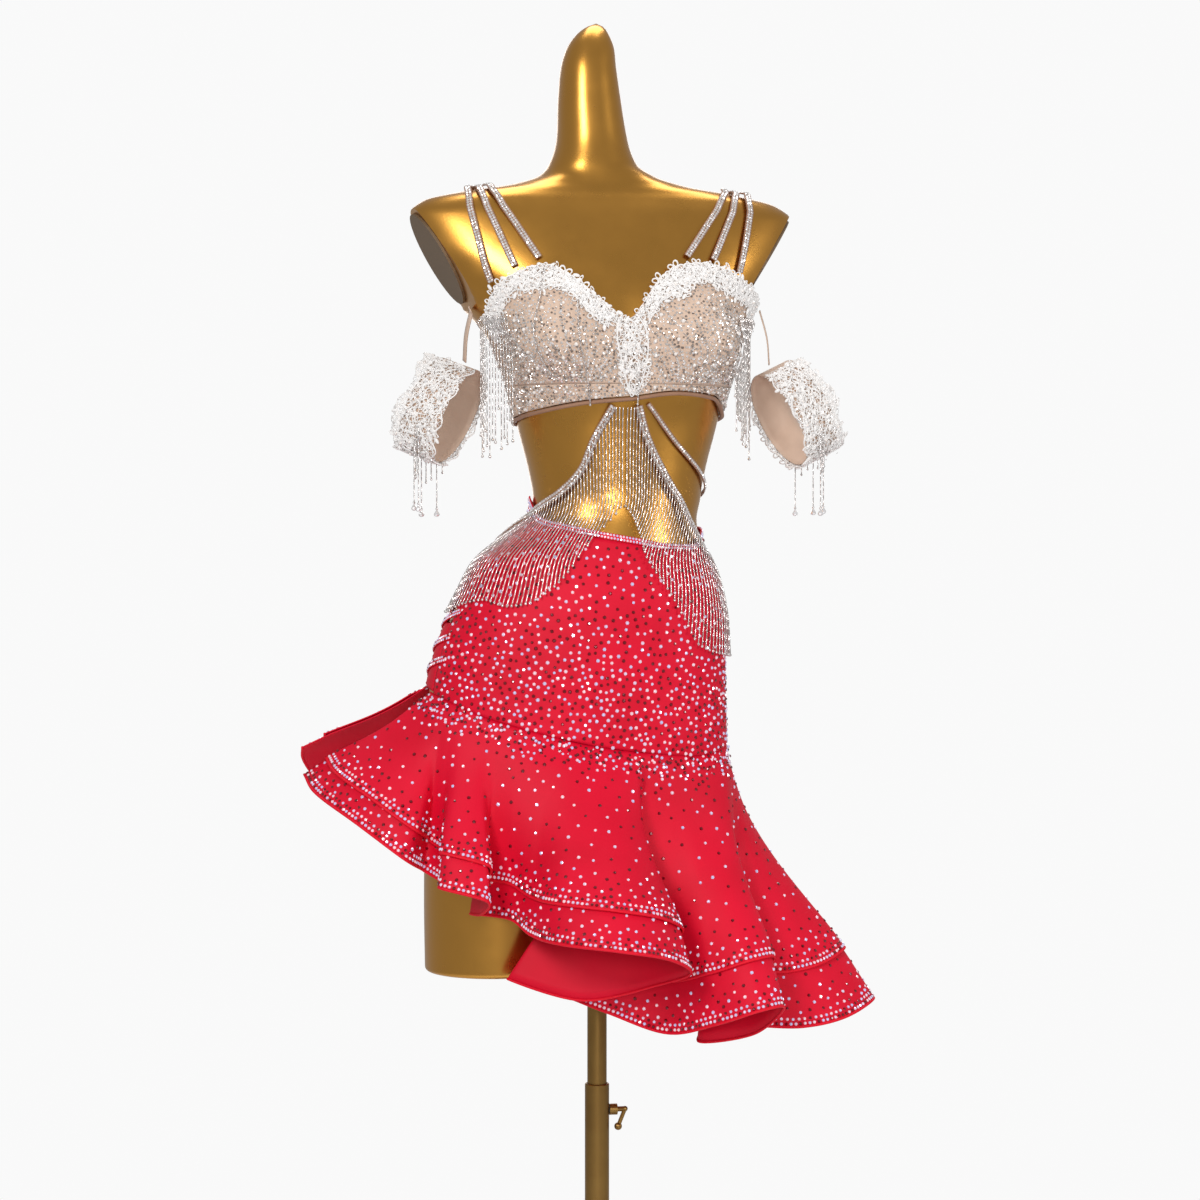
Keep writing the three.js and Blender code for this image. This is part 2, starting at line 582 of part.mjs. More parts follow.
function buildSleeves() {
  for (const [side, sleeve] of Object.entries(sleeves)) {
    const outward = side === 'right' ? 1 : -1;
    const loop = (lift, low, high, from, to) => (u, v) => sleeveRim(
      sleeve, outward * lerp(from, to, u), lift, lerp(low, high, v));
    const half = sleeveBand / 2;
    const flip = outward < 0;
    const make = (count, rows, from, to, low, high, lift, thick, closed) => {
      const inner = loop(lift, low, high, from, to);
      const outer = loop(lift + thick, low, high, from, to);
      const swap = (sheet) => (u, v) => sheet(u, 1 - v);
      return flip ? wall(count, rows, inner, outer, closed) : wall(count, rows, swap(inner), swap(outer), closed);
    };
    add(`sleeve_band_${side}`, 'nude', make(28, 1, 0, 2 * Math.PI, -half, half, 0, 1.2, true));
    add(`sleeve_lace_${side}`, 'lace', make(22, 1, 0.15 * Math.PI, 1.85 * Math.PI, -half - 8, half + 4,
      1.2 + seamGap + 0.3, 1.4, false));
    const top = sleeveRim(sleeve, 0, 3.4, 0);
    const away = new THREE.Vector3(-outward, -0.3, 0).normalize();
    const mid = sleeve.hang.clone().lerp(top, 0.5).addScaledVector(away, 3);
    const hanger = new THREE.CatmullRomCurve3([sleeve.hang, mid, top.clone().add(new THREE.Vector3(0, 0, 2.5))]);
    const spots = hanger.getPoints(8).map((p) => clearOfBody(p, 3.5));
    add(`sleeve_hanger_${side}`, 'nude', band(spots, spots.map(() => away), 9, trimWall));
    add(`sleeve_fringe_${side}`, 'stones', sleeveFringe(sleeve, outward));
  }
}

// The reach of the strands under a sleeve: a plain upright wall that follows the loop's lower half.
function sleeveFringe(sleeve, outward) {
  const start = 0.64 * Math.PI;
  const end = 1.36 * Math.PI;
  const lowest = 1128;
  const shortest = 30;          // the end strands stop this much higher
  const face = sleeve.face.clone().setZ(0).normalize();
  const place = (lift) => (u, v) => {
    const top = sleeveRim(sleeve, outward * lerp(start, end, outward > 0 ? 1 - u : u), 5.5, 0);
    const foot = lowest + shortest * (2 * u - 1) ** 2;
    return top.setZ(lerp(foot, top.z, v)).addScaledVector(face, lift);
  };
  return wall(10, 3, place(0), place(2.4));
}

// Straps from the middle of the bra to the hips, and the bead fringe that hangs from two of them
const fringeStrapRight = [
  { turn: -13, height: 1260 }, { turn: -26, height: 1222 }, { turn: -36, height: 1187 }, { turn: -52, height: 1162 },
  { turn: -72, height: 1142 }, { turn: -92, height: 1118 }, { turn: -112, height: 1098 }, { turn: -134, height: 1086 },
];
const fringeStrapLeft = [
  { turn: 4, height: 1260 }, { turn: 12, height: 1222 }, { turn: 28, height: 1178 }, { turn: 48, height: 1138 },
  { turn: 61, height: 1116 }, { turn: 73, height: 1093 }, { turn: 90, height: 1068 }, { turn: 112, height: 1050 },
];
const thinStrapLeft = [
  { turn: 11, height: 1262 }, { turn: 36, height: 1216 }, { turn: 60, height: 1187 }, { turn: 82, height: 1168 },
  { turn: 112, height: 1154 }, { turn: 150, height: 1143 }, { turn: 176, height: 1138 },
];
const strapOut = clothClear + clothWall + trimWall + 2 * seamGap + 0.8;
const routeHeight = (route, turn) => along(
  [...route].sort((a, b) => a.turn - b.turn), 'turn', 'height', turn);

const fringeFootRight = [
  { turn: -134, height: 1040 }, { turn: -110, height: 1026 }, { turn: -88, height: 1026 }, { turn: -76, height: 1036 },
  { turn: -64, height: 1041 }, { turn: -52, height: 1034 }, { turn: -43, height: 1037 }, { turn: -36, height: 1046 },
  { turn: -22, height: 1078 }, { turn: -14, height: 1119 }, { turn: -6, height: 1146 },
];
const fringeFootLeft = [
  { turn: -3, height: 1146 }, { turn: 15, height: 1113 }, { turn: 25, height: 1087 }, { turn: 39, height: 1048 },
  { turn: 47, height: 1022 }, { turn: 58, height: 988 }, { turn: 72, height: 978 }, { turn: 92, height: 974 },
  { turn: 112, height: 978 },
];

// The fringe hangs from its strap: as far out as the strap, or the body under it where that is further out.
function fringeWall(strap, feet, from, to, across, up) {
  const place = (lift) => (u, v) => {
    const turn = lerp(from, to, u);
    const top = routeHeight(strap, turn) - 7;
    const height = lerp(along(feet, 'turn', 'height', turn), top, v);
    const hang = onBody(turn, top);
    const below = onBody(turn, height);
    const middle = lerp(along(bodySections, 'height', 'middle', height),
      along(bodySections, 'height', 'middle', top), 0.5);
    const reach = (p) => Math.hypot(p.x - middle, p.y);
    const radius = Math.max(reach(below), reach(hang) - 6) + strapOut + 2 + lift;
    const dir = below.clone().sub(new THREE.Vector3(middle, 0, height)).setZ(0).normalize();
    return new THREE.Vector3(middle, 0, height).addScaledVector(dir, radius);
  };
  return wall(across, up, place(0), place(2.4));
}

function buildWaist() {
  const out = strapOut;
  add('fringe_strap_right', 'stones', bodyBand(fringeStrapRight, 9, out, trimWall, 22));
  add('fringe_strap_left', 'stones', bodyBand(fringeStrapLeft, 9, out, trimWall, 22));
  add('thin_strap_left', 'stones', bodyBand(thinStrapLeft, 5.5, clothClear, trimWall, 24));
  add('bead_fringe_right', 'stones', fringeWall(fringeStrapRight, fringeFootRight, -132, -6.5, 22, 4));
  add('bead_fringe_left', 'stones', fringeWall(fringeStrapLeft, fringeFootLeft, -3.5, 110, 20, 5));
}

// The skirt's fitted yoke
const skirtTop = [
  { turn: -96, height: 1160 }, { turn: -84, height: 1150 }, { turn: -64, height: 1133 }, { turn: -38, height: 1125 },
  { turn: -13, height: 1118 }, { turn: 16, height: 1111 }, { turn: 40, height: 1105 }, { turn: 60, height: 1104 },
  { turn: 74, height: 1117 }, { turn: 90, height: 1124 }, { turn: 130, height: 1126 }, { turn: 180, height: 1128 },
  { turn: 230, height: 1140 }, { turn: 264, height: 1160 },
];
const hipSeam = [
  { turn: -96, height: 944 }, { turn: -80, height: 935 }, { turn: -68, height: 924 }, { turn: -58, height: 913 },
  { turn: -40, height: 899 }, { turn: -19, height: 888 }, { turn: 8, height: 878 }, { turn: 35, height: 871 },
  { turn: 62, height: 865 }, { turn: 85, height: 874 }, { turn: 120, height: 884 }, { turn: 180, height: 905 },
  { turn: 230, height: 930 }, { turn: 264, height: 944 },
];
const waistEdge = 7;
const latticeFrom = -98;      // the open, laced strip on the wearer's right hip
const latticeTo = -81;
const latticeTop = 1030;

function buildYoke() {
  const top = (t) => along(skirtTop, 'turn', 'height', t) - waistEdge - seamGap;
  const foot = (t) => along(hipSeam, 'turn', 'height', t);
  const wideFrom = (h) => lerp(latticeTo, latticeFrom + 2, smooth(latticeTop, latticeTop + 30, h));
  const front = (lift) => (u, v) => {
    const seamTurn = 84;
    const guess = lerp(foot(lerp(latticeTo, seamTurn, u)), top(lerp(-96, seamTurn, u)), v);
    const turn = lerp(wideFrom(guess), seamTurn - gapTurn, u);
    return offBody(turn, lerp(foot(turn), top(turn), v), lift);
  };
  add('yoke_front', 'red', wall(26, 9, front(clothClear), front(clothClear + clothWall)));
  add('yoke_back', 'red', panel({
    from: 84 + gapTurn, to: 360 + latticeFrom, low: foot, high: top, out: clothClear, across: 22, up: 9,
  }));
  add('waist_edge_front', 'red', panel({
    from: -96, to: 84 - gapTurn, low: (t) => along(skirtTop, 'turn', 'height', t) - waistEdge,
    high: (t) => along(skirtTop, 'turn', 'height', t), out: clothClear, thick: 1.6, across: 26, up: 1,
  }));
  add('waist_edge_back', 'red', panel({
    from: 84 + gapTurn, to: 262, low: (t) => along(skirtTop, 'turn', 'height', t) - waistEdge,
    high: (t) => along(skirtTop, 'turn', 'height', t), out: clothClear, thick: 1.6, across: 20, up: 1,
  }));
  add('hip_inset', 'red', panel({
    from: latticeFrom + 2 * gapTurn, to: latticeTo - 2 * gapTurn, low: (t) => foot(t) + 2, high: () => latticeTop - 16,
    out: clothClear, across: 4, up: 5,
  }));
  const bars = [1018, 991, 966];
  bars.forEach((height, k) => {
    add(`hip_lacing_${k + 1}`, 'red', bodyBand([
      { turn: latticeFrom - 3, height: height - 9 }, { turn: (latticeFrom + latticeTo) / 2, height },
      { turn: latticeTo + 4, height: height + 9 },
    ], 8, clothClear + clothWall + seamGap + 0.3, trimWall, 6));
  });
}

// The flounce's hem, row by row from the slit on the wearer's right, round the front and the back.
// seam is where a row hangs from on the hip seam; turn, reach and height are its place at the lower hem.
const hemRows = [
  { seam: -84, turn: -96.6, reach: 336, height: 840 },
  { seam: -82, turn: -89, reach: 326, height: 824 },
  { seam: -78, turn: -75, reach: 293, height: 793 },
  { seam: -74, turn: -65.5, reach: 255, height: 755 },
  { seam: -72, turn: -70.5, reach: 222, height: 740 },
  { seam: -70, turn: -60.5, reach: 218, height: 729 },
  { seam: -65, turn: -52, reach: 254, height: 730 },
  { seam: -59, turn: -41.5, reach: 228, height: 716 },
  { seam: -55, turn: -49.5, reach: 201, height: 697 },
  { seam: -51, turn: -60, reach: 184, height: 693 },
  { seam: -44, turn: -44, reach: 171, height: 690 },
  { seam: -28, turn: -31.5, reach: 196, height: 678 },
  { seam: -15, turn: -19, reach: 238, height: 675 },
  { seam: 3, turn: -4, reach: 258, height: 670 },
  { seam: 18, turn: 8, reach: 248, height: 659 },
  { seam: 29, turn: 18.5, reach: 214, height: 637 },
  { seam: 33, turn: 14, reach: 163, height: 618 },
  { seam: 36, turn: -17, reach: 137, height: 599 },
  { seam: 39, turn: -49.5, reach: 158, height: 621 },
  { seam: 42, turn: -43, reach: 123, height: 610 },
  { seam: 46, turn: -4, reach: 104, height: 580 },
  { seam: 52, turn: 22.5, reach: 145, height: 560 },
  { seam: 60, turn: 28, reach: 212, height: 577 },
  { seam: 69, turn: 34.5, reach: 259, height: 596 },
  { seam: 76, turn: 41.5, reach: 262, height: 596 },
  { seam: 80, turn: 44.5, reach: 215, height: 560 },
  { seam: 83, turn: 37, reach: 154, height: 548 },
  { seam: 86, turn: 47.5, reach: 150, height: 560 },
  { seam: 92, turn: 59, reach: 248, height: 561 },
  { seam: 98, turn: 66, reach: 288, height: 568 },
  { seam: 104, turn: 78, reach: 319, height: 581 },
  { seam: 110, turn: 90, reach: 294, height: 566 },
  { seam: 116, turn: 101, reach: 240, height: 552 },
  { seam: 122, turn: 112, reach: 236, height: 554 },
  { seam: 131, turn: 123, reach: 296, height: 568 },
  { seam: 140, turn: 135, reach: 310, height: 576 },
  { seam: 148, turn: 145, reach: 248, height: 580 },
  { seam: 155, turn: 155, reach: 232, height: 588 },
  { seam: 164, turn: 166, reach: 292, height: 610 },
  { seam: 174, turn: 179, reach: 308, height: 630 },
  { seam: 183, turn: 190, reach: 254, height: 648 },
  { seam: 190, turn: 200, reach: 238, height: 668 },
  { seam: 199, turn: 211, reach: 296, height: 700 },
  { seam: 210, turn: 224, reach: 314, height: 735 },
  { seam: 220, turn: 235, reach: 262, height: 762 },
  { seam: 229, turn: 244, reach: 254, height: 782 },
  { seam: 243, turn: 254, reach: 316, height: 820 },
  { seam: 255, turn: 261.5, reach: 338, height: 856 },
  { seam: 261, turn: 264.8, reach: 338, height: 872 },
];
const sideSplit = 31;         // the row of hemRows at the wearer's left side seam
const upperLength = 0.815;    // how far the upper tier reaches down the lower one
const smoothRows = 4;         // rows either side that even out the hem near the seam
const lapFrom = 0.1;          // the laps start to open this far down the flounce
const lapTo = 0.85;           // and are fully open here
const flounceSet = 3;         // the flounce starts this far under the yoke's edge
const tierStations = [0, 0.2, 0.4, 0.6, 0.795, 0.98];   // rows of the flounce, from the seam to the hem edging

const hemCurve = new THREE.CatmullRomCurve3(hemRows.map((r) => {
  const angle = radians(r.turn);
  return new THREE.Vector3(r.reach * Math.sin(angle), -r.reach * Math.cos(angle), r.height);
}), false, 'centripetal');
const seamCurve = new THREE.CatmullRomCurve3(hemRows.map((r) => new THREE.Vector3(r.seam, 0, 0)), false, 'centripetal');

// The hem with its laps evened out over a few rows either side.
function smoothHem(t) {
  const middle = new THREE.Vector3();
  let weights = 0;
  for (let k = -smoothRows; k <= smoothRows; k += 1) {
    const at = Math.min(1, Math.max(0, t + k / (hemRows.length - 1)));
    const weight = Math.exp(-((1.6 * k / smoothRows) ** 2));
    middle.addScaledVector(hemCurve.getPoint(at), weight);
    weights += weight;
  }
  return middle.multiplyScalar(1 / weights);
}

// A point of the flounce: a straight fall from the hip seam to the hem.
function flouncePoint(row, v) {
  const t = row / (hemRows.length - 1);
  const seam = seamCurve.getPoint(t).x;
  const low = along(hipSeam, 'turn', 'height', seam) - flounceSet;
  const start = offBody(seam, low, clothClear);
  // the laps open out lower down: near the seam the cloth follows a smooth hem without them
  const folded = hemCurve.getPoint(t);
  return start.lerp(smoothHem(t).lerp(folded, smooth(lapFrom, lapTo, v)), v);
}

function flounceNormal(row, v) {
  const e = 0.04;
  const across = flouncePoint(Math.min(hemRows.length - 1, row + e), v).sub(flouncePoint(Math.max(0, row - e), v));
  const down = flouncePoint(row, Math.min(1, v + 0.02)).sub(flouncePoint(row, Math.max(0, v - 0.02)));
  return down.cross(across).normalize();
}

// A stretch of one tier between two rows and down the given stations, lifted off the lower tier's inner face.
function flouncePanel(fromRow, toRow, across, stations, lift, thick) {
  const last = stations.length - 1;
  const sheet = (out) => (u, v) => {
    const row = lerp(fromRow, toRow, u);
    const w = stations[last - Math.round(v * last)];
    return flouncePoint(row, w).addScaledVector(flounceNormal(row, Math.max(0.08, w)), out);
  };
  return wall(across, last, sheet(lift), sheet(lift + thick));
}

function buildFlounce() {
  const last = hemRows.length - 1;
  const split = 0.012;
  const layer = 1.2;
  const spread = 2.1;
  const edging = 1;
  const nip = 0.006;
  const lower = tierStations;
  const upper = tierStations.slice(0, -1);
  const pieces = [
    { name: 'front', from: 0, to: sideSplit - split, across: 68 },
    { name: 'back', from: sideSplit + split, to: last, across: 34 },
  ];
  for (const { name, from, to, across } of pieces) {
    const tier = (stations, lift, thick) => flouncePanel(from, to, across, stations, lift, thick);
    add(`flounce_lower_${name}`, 'red', tier(lower, 0, layer));
    add(`hem_lower_${name}`, 'red', tier([lower.at(-1) + nip, 1], -edging / 2, layer + edging));
    add(`flounce_upper_${name}`, 'red', tier(upper, layer + spread, layer));
    // in the tightest valley the edging is trimmed clear of the tier below
    const below = toManifold(tier(lower, -seamGap / 2, layer + seamGap));
    const edge = toManifold(tier([upper.at(-1) + nip, upperLength], layer + spread, layer + edging));
    const trimmed = edge.subtract(below).decompose().sort((a, b) => b.volume() - a.volume())[0];
    add(`hem_upper_${name}`, 'red', fromManifold(trimmed.simplify(0.02)));
  }
}

buildStand();
buildForm();
buildBra();
buildSideStrings();
buildStraps();
buildSleeves();
buildWaist();
buildYoke();
buildFlounce();

export default group;
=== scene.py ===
# A salsa dance dress on a headless gold dress form with a pole stand.
# Millimetres until a mesh is made. The front faces -Y and +X is the wearer's left.
# A "turn" is an angle round the body in degrees: 0 at the front, 90 at the wearer's left.
import bpy
import bmesh
import numpy as np
from math import pi, sin, cos, radians
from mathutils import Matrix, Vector
from mathutils.kdtree import KDTree


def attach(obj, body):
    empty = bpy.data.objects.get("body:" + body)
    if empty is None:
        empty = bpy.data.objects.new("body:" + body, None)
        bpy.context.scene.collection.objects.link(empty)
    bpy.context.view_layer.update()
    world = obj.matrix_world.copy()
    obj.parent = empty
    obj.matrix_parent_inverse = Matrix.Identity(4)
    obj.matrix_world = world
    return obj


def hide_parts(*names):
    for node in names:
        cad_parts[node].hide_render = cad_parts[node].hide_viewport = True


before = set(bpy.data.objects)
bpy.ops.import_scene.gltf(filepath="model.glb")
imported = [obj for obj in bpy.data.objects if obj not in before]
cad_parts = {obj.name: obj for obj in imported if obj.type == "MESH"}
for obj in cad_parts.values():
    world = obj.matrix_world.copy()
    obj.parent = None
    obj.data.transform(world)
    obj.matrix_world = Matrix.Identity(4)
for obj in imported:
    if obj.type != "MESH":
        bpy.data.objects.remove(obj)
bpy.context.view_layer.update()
random = np.random.default_rng(11)


# Tables and curves

def table(names, rows):
    return dict(zip(names.split(), np.array(rows, float).T))


# A monotone cubic through the named column, the same curve as the cut pieces follow.
def along(rows, key, name, x):
    xs, ys = rows[key], rows[name]
    step = np.diff(xs)
    rise = np.diff(ys) / step
    before, after = rise[:-1], rise[1:]
    heavy = 2 * step[1:] + step[:-1]
    light = step[1:] + 2 * step[:-1]
    turns = before * after <= 0
    safe = np.where(turns, 1, before), np.where(turns, 1, after)
    middle = np.where(turns, 0, (heavy + light) / (heavy / safe[0] + light / safe[1]))
    slope = np.concatenate([rise[:1], middle, rise[-1:]])
    at = np.clip(x, xs[0], xs[-1])
    i = np.clip(np.searchsorted(xs, at, side="left") - 1, 0, len(xs) - 2)
    h = step[i]
    t = (at - xs[i]) / h
    return ((2 * t**3 - 3 * t**2 + 1) * ys[i] + (t**3 - 2 * t**2 + t) * h * slope[i]
            + (3 * t**2 - 2 * t**3) * ys[i + 1] + (t**3 - t**2) * h * slope[i + 1])


# A centripetal Catmull-Rom curve through points, at t from 0 to 1.
def throughPoints(points, t):
    points = np.asarray(points, float)
    last = len(points) - 1
    ends = np.vstack([2 * points[0] - points[1], points, 2 * points[-1] - points[-2]])
    p = np.clip(t, 0, 1) * last
    i = np.minimum(p.astype(int), last - 1)
    w = (p - i)[..., None]
    a, b, c, d = ends[i], ends[i + 1], ends[i + 2], ends[i + 3]
    gap = lambda m, n: np.maximum(np.linalg.norm(n - m, axis=-1, keepdims=True) ** 0.5, 1e-3)
    ab, bc, cd = gap(a, b), gap(b, c), gap(c, d)
    start = ((b - a) / ab - (c - a) / (ab + bc) + (c - b) / bc) * bc
    end = ((c - b) / bc - (d - b) / (bc + cd) + (d - c) / cd) * bc
    return b + start * w + (3 * (c - b) - 2 * start - end) * w**2 + (2 * (b - c) + start + end) * w**3


def ease(a, b, x):
    t = np.clip((x - a) / (b - a), 0, 1)
    return t * t * (3 - 2 * t)


def unit(v):
    return v / np.maximum(np.linalg.norm(v, axis=-1, keepdims=True), 1e-9)


# The body that the cloth is cut to

bodySections = table("height middle half front back", [
    (800, -19, 60, 30, 34), (808, -20, 120, 60, 66), (825, -22, 155, 80, 88), (850, -24, 170, 92, 104),
    (890, -25, 173, 97, 115), (936, -24, 171, 98, 119), (977, -20, 166, 99, 116), (1015, -14, 158, 99, 109),
    (1050, -8, 146, 97, 99), (1085, -4, 131, 92, 88), (1117, 10, 108, 86, 78), (1140, 20, 97, 83, 72),
    (1160, 23, 98, 82, 71), (1188, 23, 103, 84, 73), (1235, 23, 115, 89, 78), (1295, 24, 129, 98, 85),
    (1342, 19, 148, 103, 90), (1380, 13, 176, 101, 92), (1407, 8, 198, 95, 91), (1441, 6, 216, 84, 87),
    (1478, 6, 224, 69, 77), (1494, 5, 206, 61, 69), (1504, 5, 165, 56, 63), (1513, 3, 108, 53, 58),
    (1524, 0, 70, 51, 54), (1538, -5, 52, 49, 50), (1566, -6, 42, 44, 44), (1613, -9, 37, 39, 39),
    (1648, -10, 33, 35, 35), (1669, -8, 29, 30, 30), (1688, -5, 19, 20, 20), (1697, -2, 9, 9, 9),
    (1700, -1, 0.5, 0.5, 0.5)])
sectionPower = 2.15
formInset = 1.3
cupPadding = 5
bust = {"across": 76, "height": 1330, "swell": 40, "wide": 44, "tall": 46}
seamGap = 0.4
clothClear = 1.6
clothWall = 1.3
trimWall = 1.2


def bodyRadius(angle, height, swell=bust["swell"]):
    half = along(bodySections, "height", "half", height)
    front = np.cos(angle) > 0
    depth = np.where(front, along(bodySections, "height", "front", height),
                     along(bodySections, "height", "back", height))
    side = np.abs(np.sin(angle) / half) ** sectionPower
    ahead = np.abs(np.cos(angle) / depth) ** sectionPower
    radius = (side + ahead) ** (-1 / sectionPower)
    facing = np.where(front, np.minimum(1, 1.6 * np.cos(angle)), 0)
    up = ((height - bust["height"]) / bust["tall"]) ** 2
    across = radius * np.sin(angle)
    for x in (-bust["across"], bust["across"]):
        radius = radius + swell * facing * np.exp(-(((across - x) / bust["wide"]) ** 2) - up)
    return radius


def onBody(turn, height, out=0.0):
    turn, height = np.broadcast_arrays(np.asarray(turn, float), np.asarray(height, float))

    def at(t, h):
        angle = np.radians(t)
        radius = bodyRadius(angle, h)
        middle = along(bodySections, "height", "middle", h)
        return np.stack([middle + radius * np.sin(angle), -radius * np.cos(angle), h], -1)

    normal = unit(np.cross(at(turn + 1, height) - at(turn - 1, height),
                           at(turn, height + 2) - at(turn, height - 2)))
    return at(turn, height) + normal * np.asarray(out, float)[..., None]


def bodyNormal(turn, height):
    return onBody(turn, height, np.ones(np.broadcast(turn, height).shape)) - onBody(turn, height)


# Moves points out of the body until they clear it.
def clearOfBody(points, clear):
    def gapAt(p):
        middle = along(bodySections, "height", "middle", p[..., 2])
        angle = np.arctan2(p[..., 0] - middle, -p[..., 1])
        return np.hypot(p[..., 0] - middle, p[..., 1]) - bodyRadius(angle, p[..., 2])

    moved = np.array(points, float)
    for _ in range(12):
        gap = gapAt(moved)
        slope = np.stack([gapAt(moved + d) - gap for d in np.eye(3)], -1)
        distance = gap / np.maximum(0.2, np.linalg.norm(slope, axis=-1))
        move = np.where(distance > clear - 0.05, 0, clear - distance)
        moved += unit(slope) * move[..., None]
    return moved


# Shader nodes

class Value:
    # A shader socket that takes + - * / with numbers and other sockets
    def __init__(self, tree, socket):
        self.tree, self.socket = tree, socket

    def maths(self, kind, first, second):
        node = self.tree.nodes.new("ShaderNodeMath")
        node.operation = kind
        for slot, item in zip(node.inputs, (first, second)):
            if isinstance(item, Value):
                self.tree.links.new(item.socket, slot)
            else:
                slot.default_value = item
        return Value(self.tree, node.outputs[0])

    def __add__(self, other):
        return self.maths("ADD", self, other)

    def __radd__(self, other):
        return self.maths("ADD", other, self)

    def __sub__(self, other):
        return self.maths("SUBTRACT", self, other)

    def __rsub__(self, other):
        return self.maths("SUBTRACT", other, self)

    def __mul__(self, other):
        return self.maths("MULTIPLY", self, other)

    def __rmul__(self, other):
        return self.maths("MULTIPLY", other, self)

    def __truediv__(self, other):
        return self.maths("DIVIDE", self, other)

    def __rtruediv__(self, other):
        return self.maths("DIVIDE", other, self)

    def above(self, other):
        return self.maths("GREATER_THAN", self, other)


def colour(red, green, blue):
    values = np.array([red, green, blue]) / 255
    linear = np.where(values <= 0.04045, values / 12.92, ((values + 0.055) / 1.055) ** 2.4)
    return (*map(float, linear), 1.0)


class Finish:
    # A Principled material; constants go on the shader's own sockets
    def __init__(self, name, base, **constants):
        self.material = bpy.data.materials.new(name)
        self.material.use_nodes = True
        self.tree = self.material.node_tree
        self.shader = self.tree.nodes["Principled BSDF"]
        self.shader.inputs["Base Color"].default_value = base
        for key, value in constants.items():
            self.shader.inputs[key.replace("_", " ").title()].default_value = value

    def node(self, kind, settings=None, output=0, **values):
        node = self.tree.nodes.new(kind)
        for key, value in (settings or {}).items():
            setattr(node, key, value)
        for key, value in values.items():
            slot = node.inputs[int(key[1:])] if key[0] == "i" and key[1:].isdigit() else node.inputs[key]
            if isinstance(value, Value):
                self.tree.links.new(value.socket, slot)
            else:
                slot.default_value = value
        return Value(self.tree, node.outputs[output])

    def set(self, key, value):
        self.tree.links.new(value.socket, self.shader.inputs[key])

    def place(self):
        return self.node("ShaderNodeTexCoord", output="Object")

    def noise(self, scale, detail=2.0, at=None):
        return self.node("ShaderNodeTexNoise", Vector=at or self.place(), Scale=scale, Detail=detail)

    def mix(self, factor, first, second):
        return self.node("ShaderNodeMix", {"data_type": "RGBA"}, output=2, i0=factor, i6=first, i7=second)

    def bump(self, height, distance, strength=1.0):
        self.set("Normal", self.node("ShaderNodeBump", Height=height, Distance=distance, Strength=strength))

    def attribute(self, name):
        return self.node("ShaderNodeAttribute", {"attribute_name": name}, output="Fac")


# Stretch satin: a fine knit, and a slow change of tone
def satin(name, base, shade):
    finish = Finish(name, base, roughness=0.55, sheen_weight=0.04, sheen_roughness=0.4)
    finish.shader.inputs["Sheen Tint"].default_value = colour(255, 120, 130)
    finish.shader.inputs["Specular IOR Level"].default_value = 0.2
    tone = (finish.noise(14.0) - 0.35) * 1.4
    finish.set("Base Color", finish.mix(tone, base, shade))
    finish.bump(finish.noise(1500.0, 1.0), 0.00018, 0.5)
    return finish.material


# Satin gold lacquer: soft specks in its roughness
def goldLacquer():
    finish = Finish("gold_lacquer", colour(208, 150, 66), metallic=1.0, coat_weight=0.25, coat_roughness=0.18)
    finish.set("Roughness", 0.22 + finish.noise(30.0, 4.0) * 0.14)
    finish.bump(finish.noise(420.0, 2.0), 0.00012, 0.35)
    return finish.material


# Antique brass plate: browner in slow patches
def antiqueBrass():
    finish = Finish("antique_brass", colour(150, 116, 62), metallic=1.0)
    patch = finish.noise(18.0, 5.0)
    finish.set("Base Color", finish.mix(patch, colour(168, 132, 74), colour(112, 82, 44)))
    finish.set("Roughness", 0.3 + patch * 0.16)
    return finish.material


# Glass stones: the tint attribute runs from the dark red stones at 0 to the clear ones at 1. A painted glint
# makes each stone glow faintly in its own colour, though no lamp is in it.
def glassStones(name, dark, pale, cool, metallic=0.3, paintedGlint=0.16):
    finish = Finish(name, pale, roughness=0.14, metallic=metallic, coat_weight=1.0, coat_roughness=0.03)
    tint = finish.attribute("tint")
    clear = finish.mix(tint * 4 - 3, pale, cool)
    finish.set("Base Color", finish.mix(tint * 2.4 - 0.5, dark, clear))
    # painted glint: the base colour also drives the emission, so the stones and drops glow a little
    finish.tree.links.new(finish.shader.inputs["Base Color"].links[0].from_socket,
                          finish.shader.inputs["Emission Color"])
    finish.shader.inputs["Emission Strength"].default_value = paintedGlint
    return finish.material


def beadGlass():
    finish = Finish("bead_glass", colour(222, 222, 226), roughness=0.16, metallic=0.6, coat_weight=1.0)
    finish.set("Base Color", finish.mix(finish.attribute("tint"), colour(150, 138, 132),
                                        colour(238, 234, 232)))
    return finish.material


def pearlGloss():
    return Finish("pearl", colour(240, 232, 226), roughness=0.22, coat_weight=0.6, sheen_weight=0.2).material


# Nude mesh: a fine net bump with a slow tone
def nudeMesh(name, base, shade):
    finish = Finish(name, base, roughness=0.62, sheen_weight=0.2)
    finish.set("Base Color", finish.mix(finish.noise(60.0, 3.0), base, shade))
    finish.bump(finish.noise(1300.0, 1.0), 0.0002, 0.6)
    return finish.material


# Lace thread: fine cords in the bump
def laceThread():
    finish = Finish("lace_thread", colour(244, 241, 239), roughness=0.6, sheen_weight=0.3)
    finish.bump(finish.noise(1100.0, 3.0), 0.0004, 0.9)
    return finish.material


# Lace ground: open where the cell's edge is further than a thread's width
def laceNet():
    finish = Finish("lace_net", colour(240, 236, 233), roughness=0.7)
    cell = finish.node("ShaderNodeTexVoronoi", {"feature": "DISTANCE_TO_EDGE"},
                       Vector=finish.place(), Scale=240.0)
    finish.set("Alpha", 1.0 - cell.above(0.07))
    return finish.material


